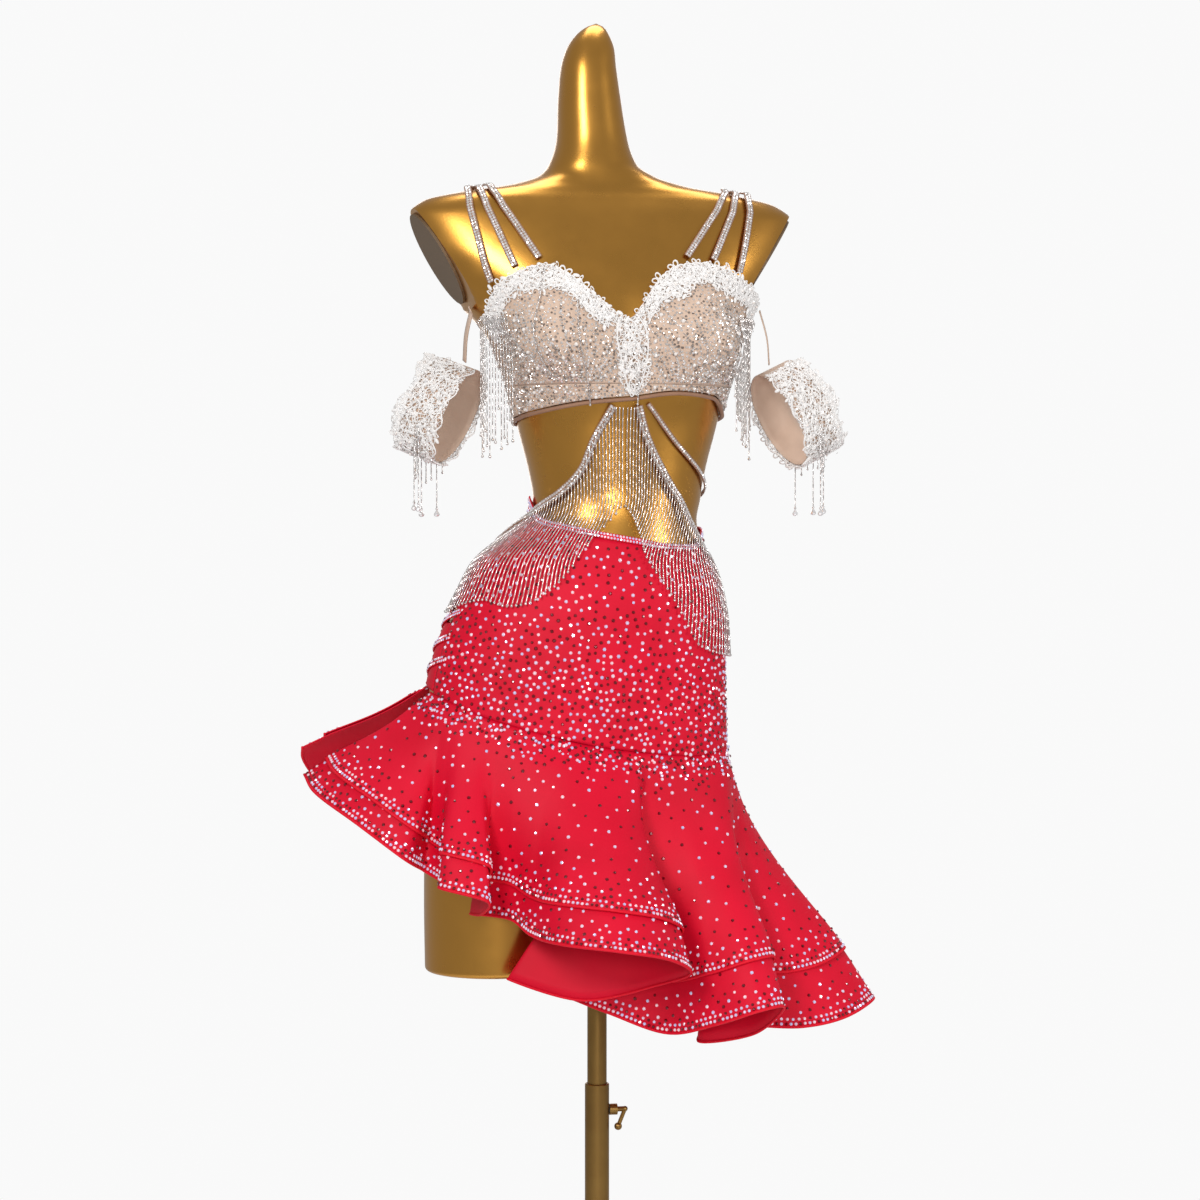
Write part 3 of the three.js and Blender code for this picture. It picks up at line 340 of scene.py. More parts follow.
red = colour(222, 6, 46)
deepRed = colour(198, 2, 34)
finishes = {
    "gold": goldLacquer(),
    "brass": antiqueBrass(),
    "plate": Finish("arm_lacquer", colour(120, 98, 74), roughness=0.5, metallic=0.4).material,
    "red": satin("red_satin", red, deepRed),
    "edging": satin("red_edging_satin", colour(228, 16, 42), red),
    "redStones": glassStones("skirt_stones", colour(104, 0, 16), colour(250, 222, 232),
                             colour(196, 206, 250)),
    "clearStones": glassStones("bra_stones", colour(132, 118, 110), colour(222, 216, 212),
                               colour(252, 250, 252), 0.55, 0.05),
    "beads": beadGlass(),
    "pearl": pearlGloss(),
    "nude": nudeMesh("nude_mesh", colour(220, 194, 174), colour(200, 170, 148)),
    "nudeEdge": nudeMesh("nude_binding", colour(164, 122, 94), colour(138, 98, 74)),
    "thread": laceThread(),
    "net": laceNet(),
}


# Meshes

def meshOf(name, points, faceSets, finish, smooth=True, tint=None):
    sets = [np.asarray(f, np.int32) for f in faceSets if len(f)]
    corners = np.concatenate([f.ravel() for f in sets])
    counts = np.concatenate([np.full(len(f), f.shape[1], np.int32) for f in sets])
    starts = np.concatenate([[0], np.cumsum(counts)[:-1]]).astype(np.int32)
    mesh = bpy.data.meshes.new(name)
    mesh.vertices.add(len(points))
    mesh.vertices.foreach_set("co", (np.asarray(points) * 0.001).astype(np.float32).ravel())
    mesh.loops.add(len(corners))
    mesh.loops.foreach_set("vertex_index", corners)
    mesh.polygons.add(len(counts))
    mesh.polygons.foreach_set("loop_start", starts)
    mesh.polygons.foreach_set("use_smooth", np.full(len(counts), smooth))
    mesh.update(calc_edges=True)
    if tint is not None:
        layer = mesh.attributes.new("tint", "FLOAT", "POINT")
        layer.data.foreach_set("value", np.asarray(tint, np.float32).ravel())
    mesh.materials.append(finishes[finish])
    piece = bpy.data.objects.new(name, mesh)
    bpy.context.scene.collection.objects.link(piece)
    return piece


def finishPiece(piece, nodes=(), body="figure"):
    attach(piece, body)
    if nodes:
        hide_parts(*nodes)
    return piece


def gridNormals(grid, closed=False):
    if closed:
        across = np.roll(grid, -1, 1) - np.roll(grid, 1, 1)
    else:
        across = np.gradient(grid, axis=1)
    return unit(np.cross(across, np.gradient(grid, axis=0)))


def gridFaces(rows, columns, closed=False):
    across = columns if closed else columns - 1
    j, i = np.meshgrid(np.arange(rows - 1), np.arange(across), indexing="ij")
    at = lambda a, b: a * columns + b % columns
    return np.stack([at(j, i), at(j, i + 1), at(j + 1, i + 1), at(j + 1, i)], -1).reshape(-1, 4)


# A cloth wall from its outer grid: rows run up, columns run the way turns grow.
def shellOf(name, outer, thick, finish, closed=False, away=None):
    normal = gridNormals(outer, closed)
    if away is not None and np.sum(normal * (outer - np.asarray(away))) < 0:
        outer = outer[:, ::-1]
        normal = gridNormals(outer, closed)
    rows, columns = outer.shape[:2]
    inner = outer - normal * thick
    count = rows * columns
    front = gridFaces(rows, columns, closed)
    i = np.arange(columns if closed else columns - 1)
    nextColumn = (i + 1) % columns
    top = (rows - 1) * columns
    rims = [np.stack([count + i, count + nextColumn, nextColumn, i], -1),
            np.stack([top + i, top + nextColumn, count + top + nextColumn, count + top + i], -1)]
    if not closed:
        j = np.arange(rows - 1) * columns
        right = j + columns - 1
        rims.append(np.stack([count + j + columns, count + j, j, j + columns], -1))
        rims.append(np.stack([right, count + right, count + right + columns, right + columns], -1))
    faces = np.concatenate([front, front[:, ::-1] + count, *rims])
    points = np.concatenate([outer.reshape(-1, 3), inner.reshape(-1, 3)])
    return meshOf(name, points, [faces], finish)


# Measures a cloth wall as a sheet: its width along its widest row, its length along its longest column, and
# its area. The results are not kept.
def stateSheet(grid, stretch=1.0):
    across = np.linalg.norm(np.diff(grid, axis=1), axis=-1)
    up = np.linalg.norm(np.diff(grid, axis=0), axis=-1)
    width, length = across.sum(1).max() / stretch * 0.001, up.sum(0).max() * 0.001
    cell = np.linalg.norm(np.cross(np.diff(grid, axis=1)[:-1], np.diff(grid, axis=0)[:, :-1]), axis=-1)
    area = cell.sum() * 1e-6 / stretch
    area = min(max(area, 0.31 * width * length), width * length)


# A tube along a line of points, round or oval, open or closed on itself.
def tubePoints(line, radius, sides, closed=False):
    run = unit(np.roll(line, -1, 0) - np.roll(line, 1, 0)) if closed else unit(np.gradient(line, axis=0))
    level = np.where(np.abs(run[:, 2:3]) > 0.9, [[1.0, 0, 0]], [[0, 0, 1.0]])
    side = unit(np.cross(run, level))
    up = np.cross(side, run)
    angle = np.linspace(0, 2 * pi, sides, endpoint=False)[None, :, None]
    radius = np.broadcast_to(radius, len(line))[:, None, None]
    return line[:, None] + radius * (np.cos(angle) * side[:, None] + np.sin(angle) * up[:, None])


def tubeOf(name, line, radius, finish, sides=8, closed=False):
    rings = tubePoints(np.asarray(line, float), radius, sides, closed)
    rows = len(rings)
    faces = gridFaces(rows, sides, True)
    if closed:
        i = np.arange(sides)
        last = (rows - 1) * sides
        faces = np.concatenate([faces, np.stack([last + i, last + (i + 1) % sides, (i + 1) % sides, i], -1)])
        caps = []
    else:
        caps = [np.arange(sides)[None, ::-1], np.arange(sides)[None] + (rows - 1) * sides]
    return meshOf(name, rings.reshape(-1, 3), [faces, *caps], finish)


# Small shapes that repeat: points and face sets, about 1 mm in size with +Z outwards

def hexStone():
    angle = np.arange(6) * pi / 3
    around = np.stack([np.cos(angle), np.sin(angle)], -1)
    points = np.concatenate([np.c_[around, np.full(6, -0.1)], np.c_[around * 0.58, np.full(6, 0.55)]])
    i = np.arange(6)
    sides = np.stack([i, (i + 1) % 6, 6 + (i + 1) % 6, 6 + i], -1)
    return points, [sides, np.arange(6, 12)[None]]


# A surface of revolution about Z through rows of (radius, height), closed at both ends.
def turned(profile, sides):
    angle = np.linspace(0, 2 * pi, sides, endpoint=False)
    radius, height = np.array(profile, float).T
    rings = np.stack(np.broadcast_arrays(
        radius[:, None] * np.cos(angle), radius[:, None] * np.sin(angle), height[:, None]), -1)
    rows = len(profile)
    caps = [np.arange(sides)[None, ::-1], np.arange(sides)[None] + (rows - 1) * sides]
    return rings.reshape(-1, 3), [gridFaces(rows, sides, True), *caps]


pearlShape = turned([(0.25, -0.97), (0.8, -0.6), (1, 0), (0.8, 0.6), (0.25, 0.97)], 8)
seedShape = turned([(0.45, -0.9), (1, 0), (0.45, 0.9)], 6)
bugleShape = turned([(0.7, -0.5), (1, -0.44), (1, 0.44), (0.7, 0.5)], 6)
dropShape = turned([(0.12, 1.6), (0.35, 0.9), (0.85, 0.1), (1, -0.35), (0.75, -0.8), (0.2, -1.05)][::-1], 8)


# Frames whose Z is the given direction, spun about it and tilted a little.
def framesFor(normals, spin=None, tilt=0.0):
    n = len(normals)
    normals = unit(normals + random.normal(0, 1, (n, 3)) * tilt) if tilt else unit(normals)
    level = np.where(np.abs(normals[:, 2:3]) > 0.9, [[1.0, 0, 0]], [[0, 0, 1.0]])
    x = unit(np.cross(level, normals))
    y = np.cross(normals, x)
    if spin is None:
        spin = random.uniform(0, 2 * pi, n)
    c, s = np.cos(spin)[:, None], np.sin(spin)[:, None]
    return np.stack([x * c + y * s, y * c - x * s, normals], -1)


def copies(name, shape, places, frames, scales, finish, smooth=False, tint=None):
    points, faceSets = shape
    n = len(places)
    scales = np.asarray(scales, float).reshape(-1, 1) if np.ndim(scales) == 1 else scales
    scales = np.broadcast_to(scales, (n, 3))
    spread = np.einsum("nij,nmj->nmi", frames, points[None] * scales[:, None])
    spots = (places[:, None] + spread).reshape(-1, 3)
    shift = np.arange(n) * len(points)
    faces = [(f[None] + shift[:, None, None]).reshape(-1, f.shape[1]) for f in faceSets]
    tints = None if tint is None else np.repeat(tint, len(points))
    return meshOf(name, spots, faces, finish, smooth, tints)


# Places spread over a face(u, v) at least spacing(u, v) apart, with their normals.
def scatter(face, us, vs, spacing, keep=None, crowd=5.0, columns=160):
    u, v = np.meshgrid(np.linspace(*us, columns), np.linspace(*vs, 60))
    grid = face(u, v)
    cells = np.linalg.norm(np.cross(grid[:-1, 1:] - grid[:-1, :-1], grid[1:, :-1] - grid[:-1, :-1]), axis=-1)
    gap = spacing(u, v)[:-1, :-1]
    weight = (cells / gap**2).ravel()
    n = int(crowd * weight.sum())
    pick = random.choice(len(weight), n, p=weight / weight.sum())
    j, i = np.divmod(pick, u.shape[1] - 1)
    u = us[0] + (i + random.random(n)) / (columns - 1) * (us[1] - us[0])
    v = vs[0] + (j + random.random(n)) / 59 * (vs[1] - vs[0])
    if keep is not None:
        inside = keep(u, v)
        u, v = u[inside], v[inside]
    places, gap = face(u, v), spacing(u, v)
    tree = KDTree(len(u))
    for k, p in enumerate(places):
        tree.insert(p, k)
    tree.balance()
    alive = np.ones(len(u), bool)
    for k, p in enumerate(places):
        if alive[k]:
            for _, other, _ in tree.find_range(p, float(gap[k])):
                if other > k:
                    alive[other] = False
    u, v = u[alive], v[alive]
    return face(u, v), faceNormals(face, u, v), u, v


def faceNormals(face, u, v, e=0.02):
    return unit(np.cross(face(u + e, v) - face(u - e, v), face(u, v + e) - face(u, v - e)))


# Even places along a line on a face, given fine samples of u and v.
def rowAlong(face, u, v, spacing):
    line = face(u, v)
    run = np.concatenate([[0], np.cumsum(np.linalg.norm(np.diff(line, axis=0), axis=-1))])
    at = np.arange(spacing / 2, run[-1], spacing)
    u, v = np.interp(at, run, u), np.interp(at, run, v)
    return face(u, v), faceNormals(face, u, v)


# The camera, the light and the floor

def buildStudio():
    scene = bpy.context.scene
    turn, distance, lookHeight, span = radians(-10), 3.3, 1.04, 1.38
    camera = bpy.data.objects.new("camera", bpy.data.cameras.new("camera"))
    scene.collection.objects.link(camera)
    camera.location = (distance * sin(turn), -distance * cos(turn), 1.12)
    camera.rotation_euler = (Vector((0, 0, lookHeight)) - camera.location).to_track_quat("-Z", "Y").to_euler()
    camera.data.sensor_width = 36
    camera.data.lens = 36 * distance / span
    camera.data.shift_x = 0.0025
    scene.camera = camera

    # position, size, power
    lights = {
        "key": ((-1.7, -2.6, 2.4), 0.9, 46),
        "fill": ((2.3, -1.9, 1.6), 0.9, 20),
        "front": ((-0.25, -3.5, 1.35), 0.55, 26),
        "top": ((0.2, 0.4, 3.2), 1.4, 22),
        "back": ((0.4, 3.0, 1.8), 1.8, 22),
    }
    for name, (place, size, power) in lights.items():
        data = bpy.data.lights.new(name, "AREA")
        data.size = size
        data.energy = power
        light = bpy.data.objects.new(name, data)
        light.location = place
        light.rotation_euler = (Vector((0, 0, 1.1)) - light.location).to_track_quat("-Z", "Y").to_euler()
        scene.collection.objects.link(light)

    world = bpy.data.worlds.new("studio")
    scene.world = world
    world.use_nodes = True
    # white behind the object, and a dimmer grey all round it for light and reflections
    nodes, links = world.node_tree.nodes, world.node_tree.links
    path = nodes.new("ShaderNodeLightPath")
    strength = nodes.new("ShaderNodeMix")
    strength.inputs[2].default_value = 0.4
    strength.inputs[3].default_value = 1.0
    links.new(path.outputs["Is Camera Ray"], strength.inputs[0])
    links.new(strength.outputs[0], nodes["Background"].inputs["Strength"])
    nodes["Background"].inputs["Color"].default_value = (0.95, 0.95, 0.95, 1)
    scene.view_settings.view_transform = "Standard"

    floor = tubeOf("floor", [[0, 0, -6], [0, 0, -0.5]], 1400, "pearl", sides=96)
    floor.data.materials[0] = Finish("floor_paint", (0.86, 0.86, 0.86, 1), roughness=0.85).material


# The dress form: a torso cut flat at the arms, two thighs and a plate over each arm's end

thighs = {
    "right": table("height middle radius", [(617, -121, 78), (700, -118, 82),
                                            (800, -111, 86), (880, -103, 84)]),
    "left": table("height middle radius", [(652, 80, 62), (720, 77, 66), (800, 64, 72), (880, 48, 76)]),
}
armCut = {"reach": 216, "height": 1478, "lean": 30.5, "forward": 6, "flat": 118,
          "fadeOut": 100, "fadeDown": 110}


def formGrid():
    heights = np.unique(np.concatenate([np.linspace(800, 850, 14), np.linspace(850, 1490, 130),
                                        np.linspace(1490, 1550, 30), np.linspace(1550, 1700, 40)]))
    s = np.linspace(0, 2 * pi, 128, endpoint=False)[None]
    h = heights[:, None] + 0 * s
    half = along(bodySections, "height", "half", h)
    depth = np.where(np.cos(s) > 0, along(bodySections, "height", "front", h),
                     along(bodySections, "height", "back", h))
    angle = np.arctan2(half * np.sin(s), depth * np.cos(s))
    radius = np.maximum(0.3, bodyRadius(angle, h, bust["swell"] - cupPadding) - formInset)
    middle = along(bodySections, "height", "middle", h)
    return np.stack([middle + radius * np.sin(angle), -radius * np.cos(angle), h], -1)


def thighGrid(rows):
    low, top, edge = rows["height"][0], rows["height"][-1], 5.0
    corner = np.linspace(0, pi / 2, 6)
    heights = np.concatenate([low + edge * (1 - np.cos(corner)), np.linspace(low + edge * 1.5, top, 24)])
    inset = np.concatenate([edge * (1 - np.sin(corner)), np.zeros(24)])
    s = np.linspace(0, 2 * pi, 96, endpoint=False)[None]
    radius = (along(rows, "height", "radius", heights) - inset)[:, None]
    middle = along(rows, "height", "middle", heights)[:, None]
    return np.stack([middle + radius * np.sin(s), -radius * np.cos(s), heights[:, None] + 0 * s], -1)


def buildForm():
    grids = [formGrid(), *(thighGrid(rows) for rows in thighs.values())]
    points, faces, caps, shift = [], [], [], 0
    for grid in grids:
        rows, columns = grid.shape[:2]
        points.append(grid.reshape(-1, 3))
        faces.append(gridFaces(rows, columns, True) + shift)
        caps.append(np.arange(columns)[None, ::-1] + shift)
        caps.append(np.arange(columns)[None] + (rows - 1) * columns + shift)
        shift += rows * columns
    form = meshOf("dress_form", np.concatenate(points), [np.concatenate(faces), *caps], "gold")
    # each arm is split along its flat cut and the slope under it, and what stands past them is pressed flat
    cut = bmesh.new()
    cut.from_mesh(form.data)
    lean, forward = radians(armCut["lean"]), radians(armCut["forward"])
    slope = armCut["fadeOut"] / armCut["fadeDown"]
    for side in (-1, 1):
        normal = Vector((side * cos(lean) * cos(forward), -cos(lean) * sin(forward), -sin(lean)))
        down = (Vector((0, 0, -1)) + normal * normal.z).normalized()
        place = Vector((6 + side * armCut["reach"], 0, armCut["height"])) * 0.001
        corner = place + down * armCut["flat"] * 0.001
        for spot, facing in ((place, normal), (corner, (normal - down * slope).normalized())):
            near = [v for v in cut.verts if side * v.co.x > 0.1 and v.co.z > 1.3]
            edges = list({e for v in near for e in v.link_edges})
            faces = list({f for v in near for f in v.link_faces})
            bmesh.ops.bisect_plane(cut, geom=near + edges + faces, plane_co=spot, plane_no=facing)
        for v in cut.verts:
            if side * v.co.x > 0.1 and v.co.z > 1.3:
                low = (v.co - place).dot(down) - armCut["flat"] * 0.001
                over = (v.co - place).dot(normal) - max(0.0, low) * slope
                v.co -= normal * max(0.0, over)
    cut.to_mesh(form.data)
    cut.free()
    form.data.set_sharp_from_angle(angle=radians(32))
    finishPiece(form, ["form_body"])


# The stand: a lathe for each turned piece, and the clamp screw as it was cut

def turnedPiece(name, profile, sides, finish, body, nodes):
    points, faces = turned(profile, sides)
    piece = meshOf(name, points, faces, finish)
    piece.data.set_sharp_from_angle(angle=radians(35))
    return finishPiece(piece, nodes, body)


def buildStand():
    turnedPiece("stand_plate", [(20, 0), (159, 0), (160, 1), (160, 5), (159.2, 6.6), (157, 8), (20, 8)], 128,
                "brass", "stand", ["base_plate"])
    turnedPiece("stand_tube", [(12, 8.4), (30, 8.4), (30, 13.4), (26, 14.4), (14, 16.4),
                                (14, 481), (13, 482), (12, 482),
                               (12, 480)], 64, "brass", "stand", ["outer_tube"])
    turnedPiece("rising_tube", [(4, 270), (11.2, 270.5), (11.2, 860)], 64, "brass", "figure",
                ["inner_tube"])
    for node in ("clamp_boss", "clamp_screw", "arm_plate_right", "arm_plate_left"):
        shape = bpy.data.objects[node]
        paint = finishes["plate" if "plate" in node else "brass"]
        shape.data.materials.clear()
        shape.data.materials.append(paint)


# The skirt's yoke

skirtTop = table("turn height", [
    (-96, 1160), (-84, 1150), (-64, 1133), (-38, 1125), (-13, 1118), (16, 1111), (40, 1105), (60, 1104),
    (74, 1117), (90, 1124), (130, 1126), (180, 1128), (230, 1140), (264, 1160)])
hipSeam = table("turn height", [
    (-96, 944), (-80, 935), (-68, 924), (-58, 913), (-40, 899), (-19, 888), (8, 878), (35, 871), (62, 865),
    (85, 874), (120, 884), (180, 905), (230, 930), (264, 944)])
waistEdge = 7
lattice = {"from": -98, "to": -81, "top": 1030}
frontSeam = 84
gapTurn = 0.25
strapOut = clothClear + clothWall + trimWall + 2 * seamGap + 0.8
seamAt = lambda turn: along(hipSeam, "turn", "height", turn)
waistAt = lambda turn: along(skirtTop, "turn", "height", turn)


def wideFrom(height):
    reach = lattice["from"] + 2 - lattice["to"]
    return lattice["to"] + reach * ease(lattice["top"], lattice["top"] + 30, height)


# Soft drag lines: low waves that fade towards the waist
def yokeEase(turn, height):
    wave = np.sin(radians(9) * turn + height / 26) + 0.6 * np.sin(radians(15) * turn - height / 40)
    return 0.35 * wave * ease(1100, 900, height)


def yokeFront(u, v):
    low = seamAt(lattice["to"] + (frontSeam - lattice["to"]) * u)
    top = waistAt(-96 + (frontSeam + 96) * u) - waistEdge - seamGap
    start = wideFrom(low + (top - low) * v)
    turn = start + (frontSeam - gapTurn - start) * u
    low, top = seamAt(turn), waistAt(turn) - waistEdge - seamGap
    height = low + (top - low) * v
    return onBody(turn, height, clothClear + clothWall + 0.35 + yokeEase(turn, height))


def yokeBack(u, v):
    turn = frontSeam + gapTurn + (360 + lattice["from"] - frontSeam - gapTurn) * u
    low, top = seamAt(turn), waistAt(turn) - waistEdge - seamGap
    height = low + (top - low) * v
    return onBody(turn, height, clothClear + clothWall + 0.35 + yokeEase(turn, height))


def squareGrid(face, across, up, u0=0.0, u1=1.0, v0=0.0, v1=1.0):
    u, v = np.meshgrid(np.linspace(u0, u1, across + 1), np.linspace(v0, v1, up + 1))
    return face(u, v)


skirtStones = {"places": [], "normals": [], "sizes": [], "tints": []}


def keepStones(store, places, normals, sizesOf, tints):
    store["places"].append(places)
    store["normals"].append(normals)
    store["sizes"].append(np.broadcast_to(sizesOf, len(places)))
    store["tints"].append(np.broadcast_to(tints, len(places)))


def mixedTints(n, dark=0.4):
    return np.where(random.random(n) < dark, random.uniform(0, 0.12, n), random.uniform(0.72, 1.0, n))


def setStones(name, store, finish, lift=0.3, tilt=0.12):
    places, normals = np.concatenate(store["places"]), unit(np.concatenate(store["normals"]))
    radius, tints = np.concatenate(store["sizes"]), np.concatenate(store["tints"])
    scales = np.stack([radius, radius, radius * 0.9], -1)
    stones = copies(name, hexStone(), places + normals * lift, framesFor(normals, tilt=tilt), scales,
                    finish, tint=tints)
    return finishPiece(stones)


def buildYoke():
    trims = {"front": [], "back": []}
    # the waist's edging with two rows of clear stones
    for name, start, end in (("front", -96, frontSeam - gapTurn), ("back", frontSeam + gapTurn, 262)):
        def edgeFace(u, v):
            turn = start + (end - start) * u
            return onBody(turn, waistAt(turn) - waistEdge * (1 - v), clothClear + 1.6 + 0.5 * np.sin(pi * v))
        edge = shellOf(f"waist_edge_{name}_cloth", squareGrid(edgeFace, 120, 6), 1.6, "edging")
        trims[name].append(finishPiece(edge, [f"waist_edge_{name}"]))
        for v in (0.28, 0.76):
            places, normals = rowAlong(edgeFace, np.linspace(0, 1, 400), np.full(400, v), 3.7)
            keepStones(skirtStones, places, normals, 1.55, random.uniform(0.74, 1.0, len(places)))

    # three stoned lacings over the open strip on the wearer's right hip
    middle = (lattice["from"] + lattice["to"]) / 2
    for k, height in enumerate((1018, 991, 966)):
        route = np.array([(lattice["from"] - 3, height - 9), (middle, height),
                          (lattice["to"] + 4, height + 9)], float)
        lacing, face = bandOnBody(f"hip_lacing_{k + 1}_cloth", route, 8,
                                  clothClear + clothWall + seamGap + 0.3,
                                  trimWall, 30, "edging")
        trims["front"].append(finishPiece(lacing, [f"hip_lacing_{k + 1}"]))
        for v in (0.25, 0.75):
            places, normals = rowAlong(face, np.linspace(0, 1, 60), np.full(60, v), 3.9)
            keepStones(skirtStones, places, normals, 1.6, mixedTints(len(places), 0.2))

    # the plain inset under the lacings
    def insetFace(u, v):
        turn = lattice["from"] + 2 * gapTurn + (lattice["to"] - lattice["from"] - 4 * gapTurn) * u
        low = seamAt(turn) + 2
        return onBody(turn, low + (lattice["top"] - 16 - low) * v, clothClear + clothWall)
    grid = squareGrid(insetFace, 16, 24)
    inset = finishPiece(shellOf("hip_inset_cloth", grid, clothWall, "red"), ["hip_inset"])
    stateSheet(grid)

    closeness = lambda u, v: 7.7 - 1.7 * ease(0.7, 0.25, v)
    for name, face, across in (("front", yokeFront, 150), ("back", yokeBack, 130)):
        grid = squareGrid(face, across, 60)
        piece = finishPiece(shellOf(f"yoke_{name}_cloth", grid, clothWall, "red"),
                            [f"yoke_{name}"])
        stateSheet(grid, stretch=1.08)
        places, normals, _, _ = scatter(face, (0.01, 0.99), (0.004, 0.985), closeness, columns=220)
        keepStones(skirtStones, places, normals, random.uniform(1.8, 2.4, len(places)),
                   mixedTints(len(places), 0.38))


# A flat band laid on the body along a route of (turn, height). Its face is (u along, v across).
def bandOnBody(name, route, width, out, thick, steps, finish):
    def line(u):
        return throughPoints(np.c_[route, np.zeros(len(route))], u)

    def face(u, v, lift=thick):
        at, ahead = line(u), line(np.clip(u + 0.004, 0, 1))
        behind = line(np.clip(u - 0.004, 0, 1))
        run = unit(onBody(ahead[..., 0], ahead[..., 1], out) - onBody(behind[..., 0], behind[..., 1], out))
        normal = bodyNormal(at[..., 0], at[..., 1])
        side = unit(np.cross(normal, run))
        return onBody(at[..., 0], at[..., 1], out) + side * ((v - 0.5) * width)[..., None] + normal * lift

    grid = squareGrid(face, steps, 4)
    return shellOf(name, grid, thick, finish), face


# The flounce: two tiers that hang from the hip seam in laps

hemRows = table("seam turn reach height", [
    (-84, -96.6, 336, 840), (-82, -89, 326, 824), (-78, -75, 293, 793), (-74, -65.5, 255, 755),
    (-72, -70.5, 222, 740), (-70, -60.5, 218, 729), (-65, -52, 254, 730), (-59, -41.5, 228, 716),
    (-55, -49.5, 201, 697), (-51, -60, 184, 693), (-44, -44, 171, 690), (-28, -31.5, 196, 678),
    (-15, -19, 238, 675), (3, -4, 258, 670), (18, 8, 248, 659), (29, 18.5, 214, 637), (33, 14, 163, 618),
    (36, -17, 137, 599), (39, -49.5, 158, 621), (42, -43, 123, 610), (46, -4, 104, 580), (52, 22.5, 145, 560),
    (60, 28, 212, 577), (69, 34.5, 259, 596), (76, 41.5, 262, 596), (80, 44.5, 215, 560), (83, 37, 154, 548),
    (86, 47.5, 150, 560), (92, 59, 248, 561), (98, 66, 288, 568), (104, 78, 319, 581), (110, 90, 294, 566),
    (116, 101, 240, 552), (122, 112, 236, 554), (131, 123, 296, 568), (140, 135, 310, 576),
    (148, 145, 248, 580),
    (155, 155, 232, 588), (164, 166, 292, 610), (174, 179, 308, 630), (183, 190, 254, 648),
    (190, 200, 238, 668),
    (199, 211, 296, 700), (210, 224, 314, 735), (220, 235, 262, 762), (229, 244, 254, 782),
    (243, 254, 316, 820),
    (255, 261.5, 338, 856), (261, 264.8, 338, 872)])
lastRow = len(hemRows["seam"]) - 1
sideSplit = 31
upperLength = 0.815
smoothRows = 4
lapFrom, lapTo = 0.1, 0.85
flounceSet = 3
flounceLayer = 1.2
seamLap = 1.014      # the flounce's top edge tucks up to the yoke's
tierSpread = 2.1
seamLift = 1.75      # both tiers are flush with the yoke at the seam
hemTurn = np.radians(hemRows["turn"])
hemPoints = np.stack([hemRows["reach"] * np.sin(hemTurn),
                      -hemRows["reach"] * np.cos(hemTurn), hemRows["height"]], -1)
seamPoints = np.c_[hemRows["seam"], np.zeros(lastRow + 1), np.zeros(lastRow + 1)]


def flouncePoint(row, v):
    t = row / lastRow
    seam = throughPoints(seamPoints, t)[..., 0]
    start = onBody(seam, seamAt(seam) - flounceSet, clothClear)
    even, weights = 0, 0
    for k in range(-smoothRows, smoothRows + 1):
        weight = np.exp(-((1.6 * k / smoothRows) ** 2))
        even = even + throughPoints(hemPoints, np.clip(t + k / lastRow, 0, 1)) * weight
        weights += weight
    lap = ease(lapFrom, lapTo, v)[..., None]
    end = even / weights * (1 - lap) + throughPoints(hemPoints, t) * lap
    return start + (end - start) * v[..., None]


# A tier's face at (row, up), with up = 1 at the hip seam, lifted off the lower tier's inner side.
def tierFace(lift):
    def face(row, up):
        row, up = np.broadcast_arrays(np.asarray(row, float), np.asarray(up, float))
        v = 1 - up
        low = np.maximum(0.08, v)
        after, before = np.minimum(lastRow, row + 0.04), np.maximum(0, row - 0.04)
        across = flouncePoint(after, low) - flouncePoint(before, low)
        down = flouncePoint(row, np.minimum(1, low + 0.02)) - flouncePoint(row, low - 0.02)
        lifted = seamLift + (lift - seamLift) * ease(0.995, 0.84, up)
        return flouncePoint(row, v) + unit(np.cross(down, across)) * lifted[..., None]
    return face


def fallLength(row):
    fall = flouncePoint(row, np.ones_like(row)) - flouncePoint(row, np.zeros_like(row))
    return np.linalg.norm(fall, axis=-1)


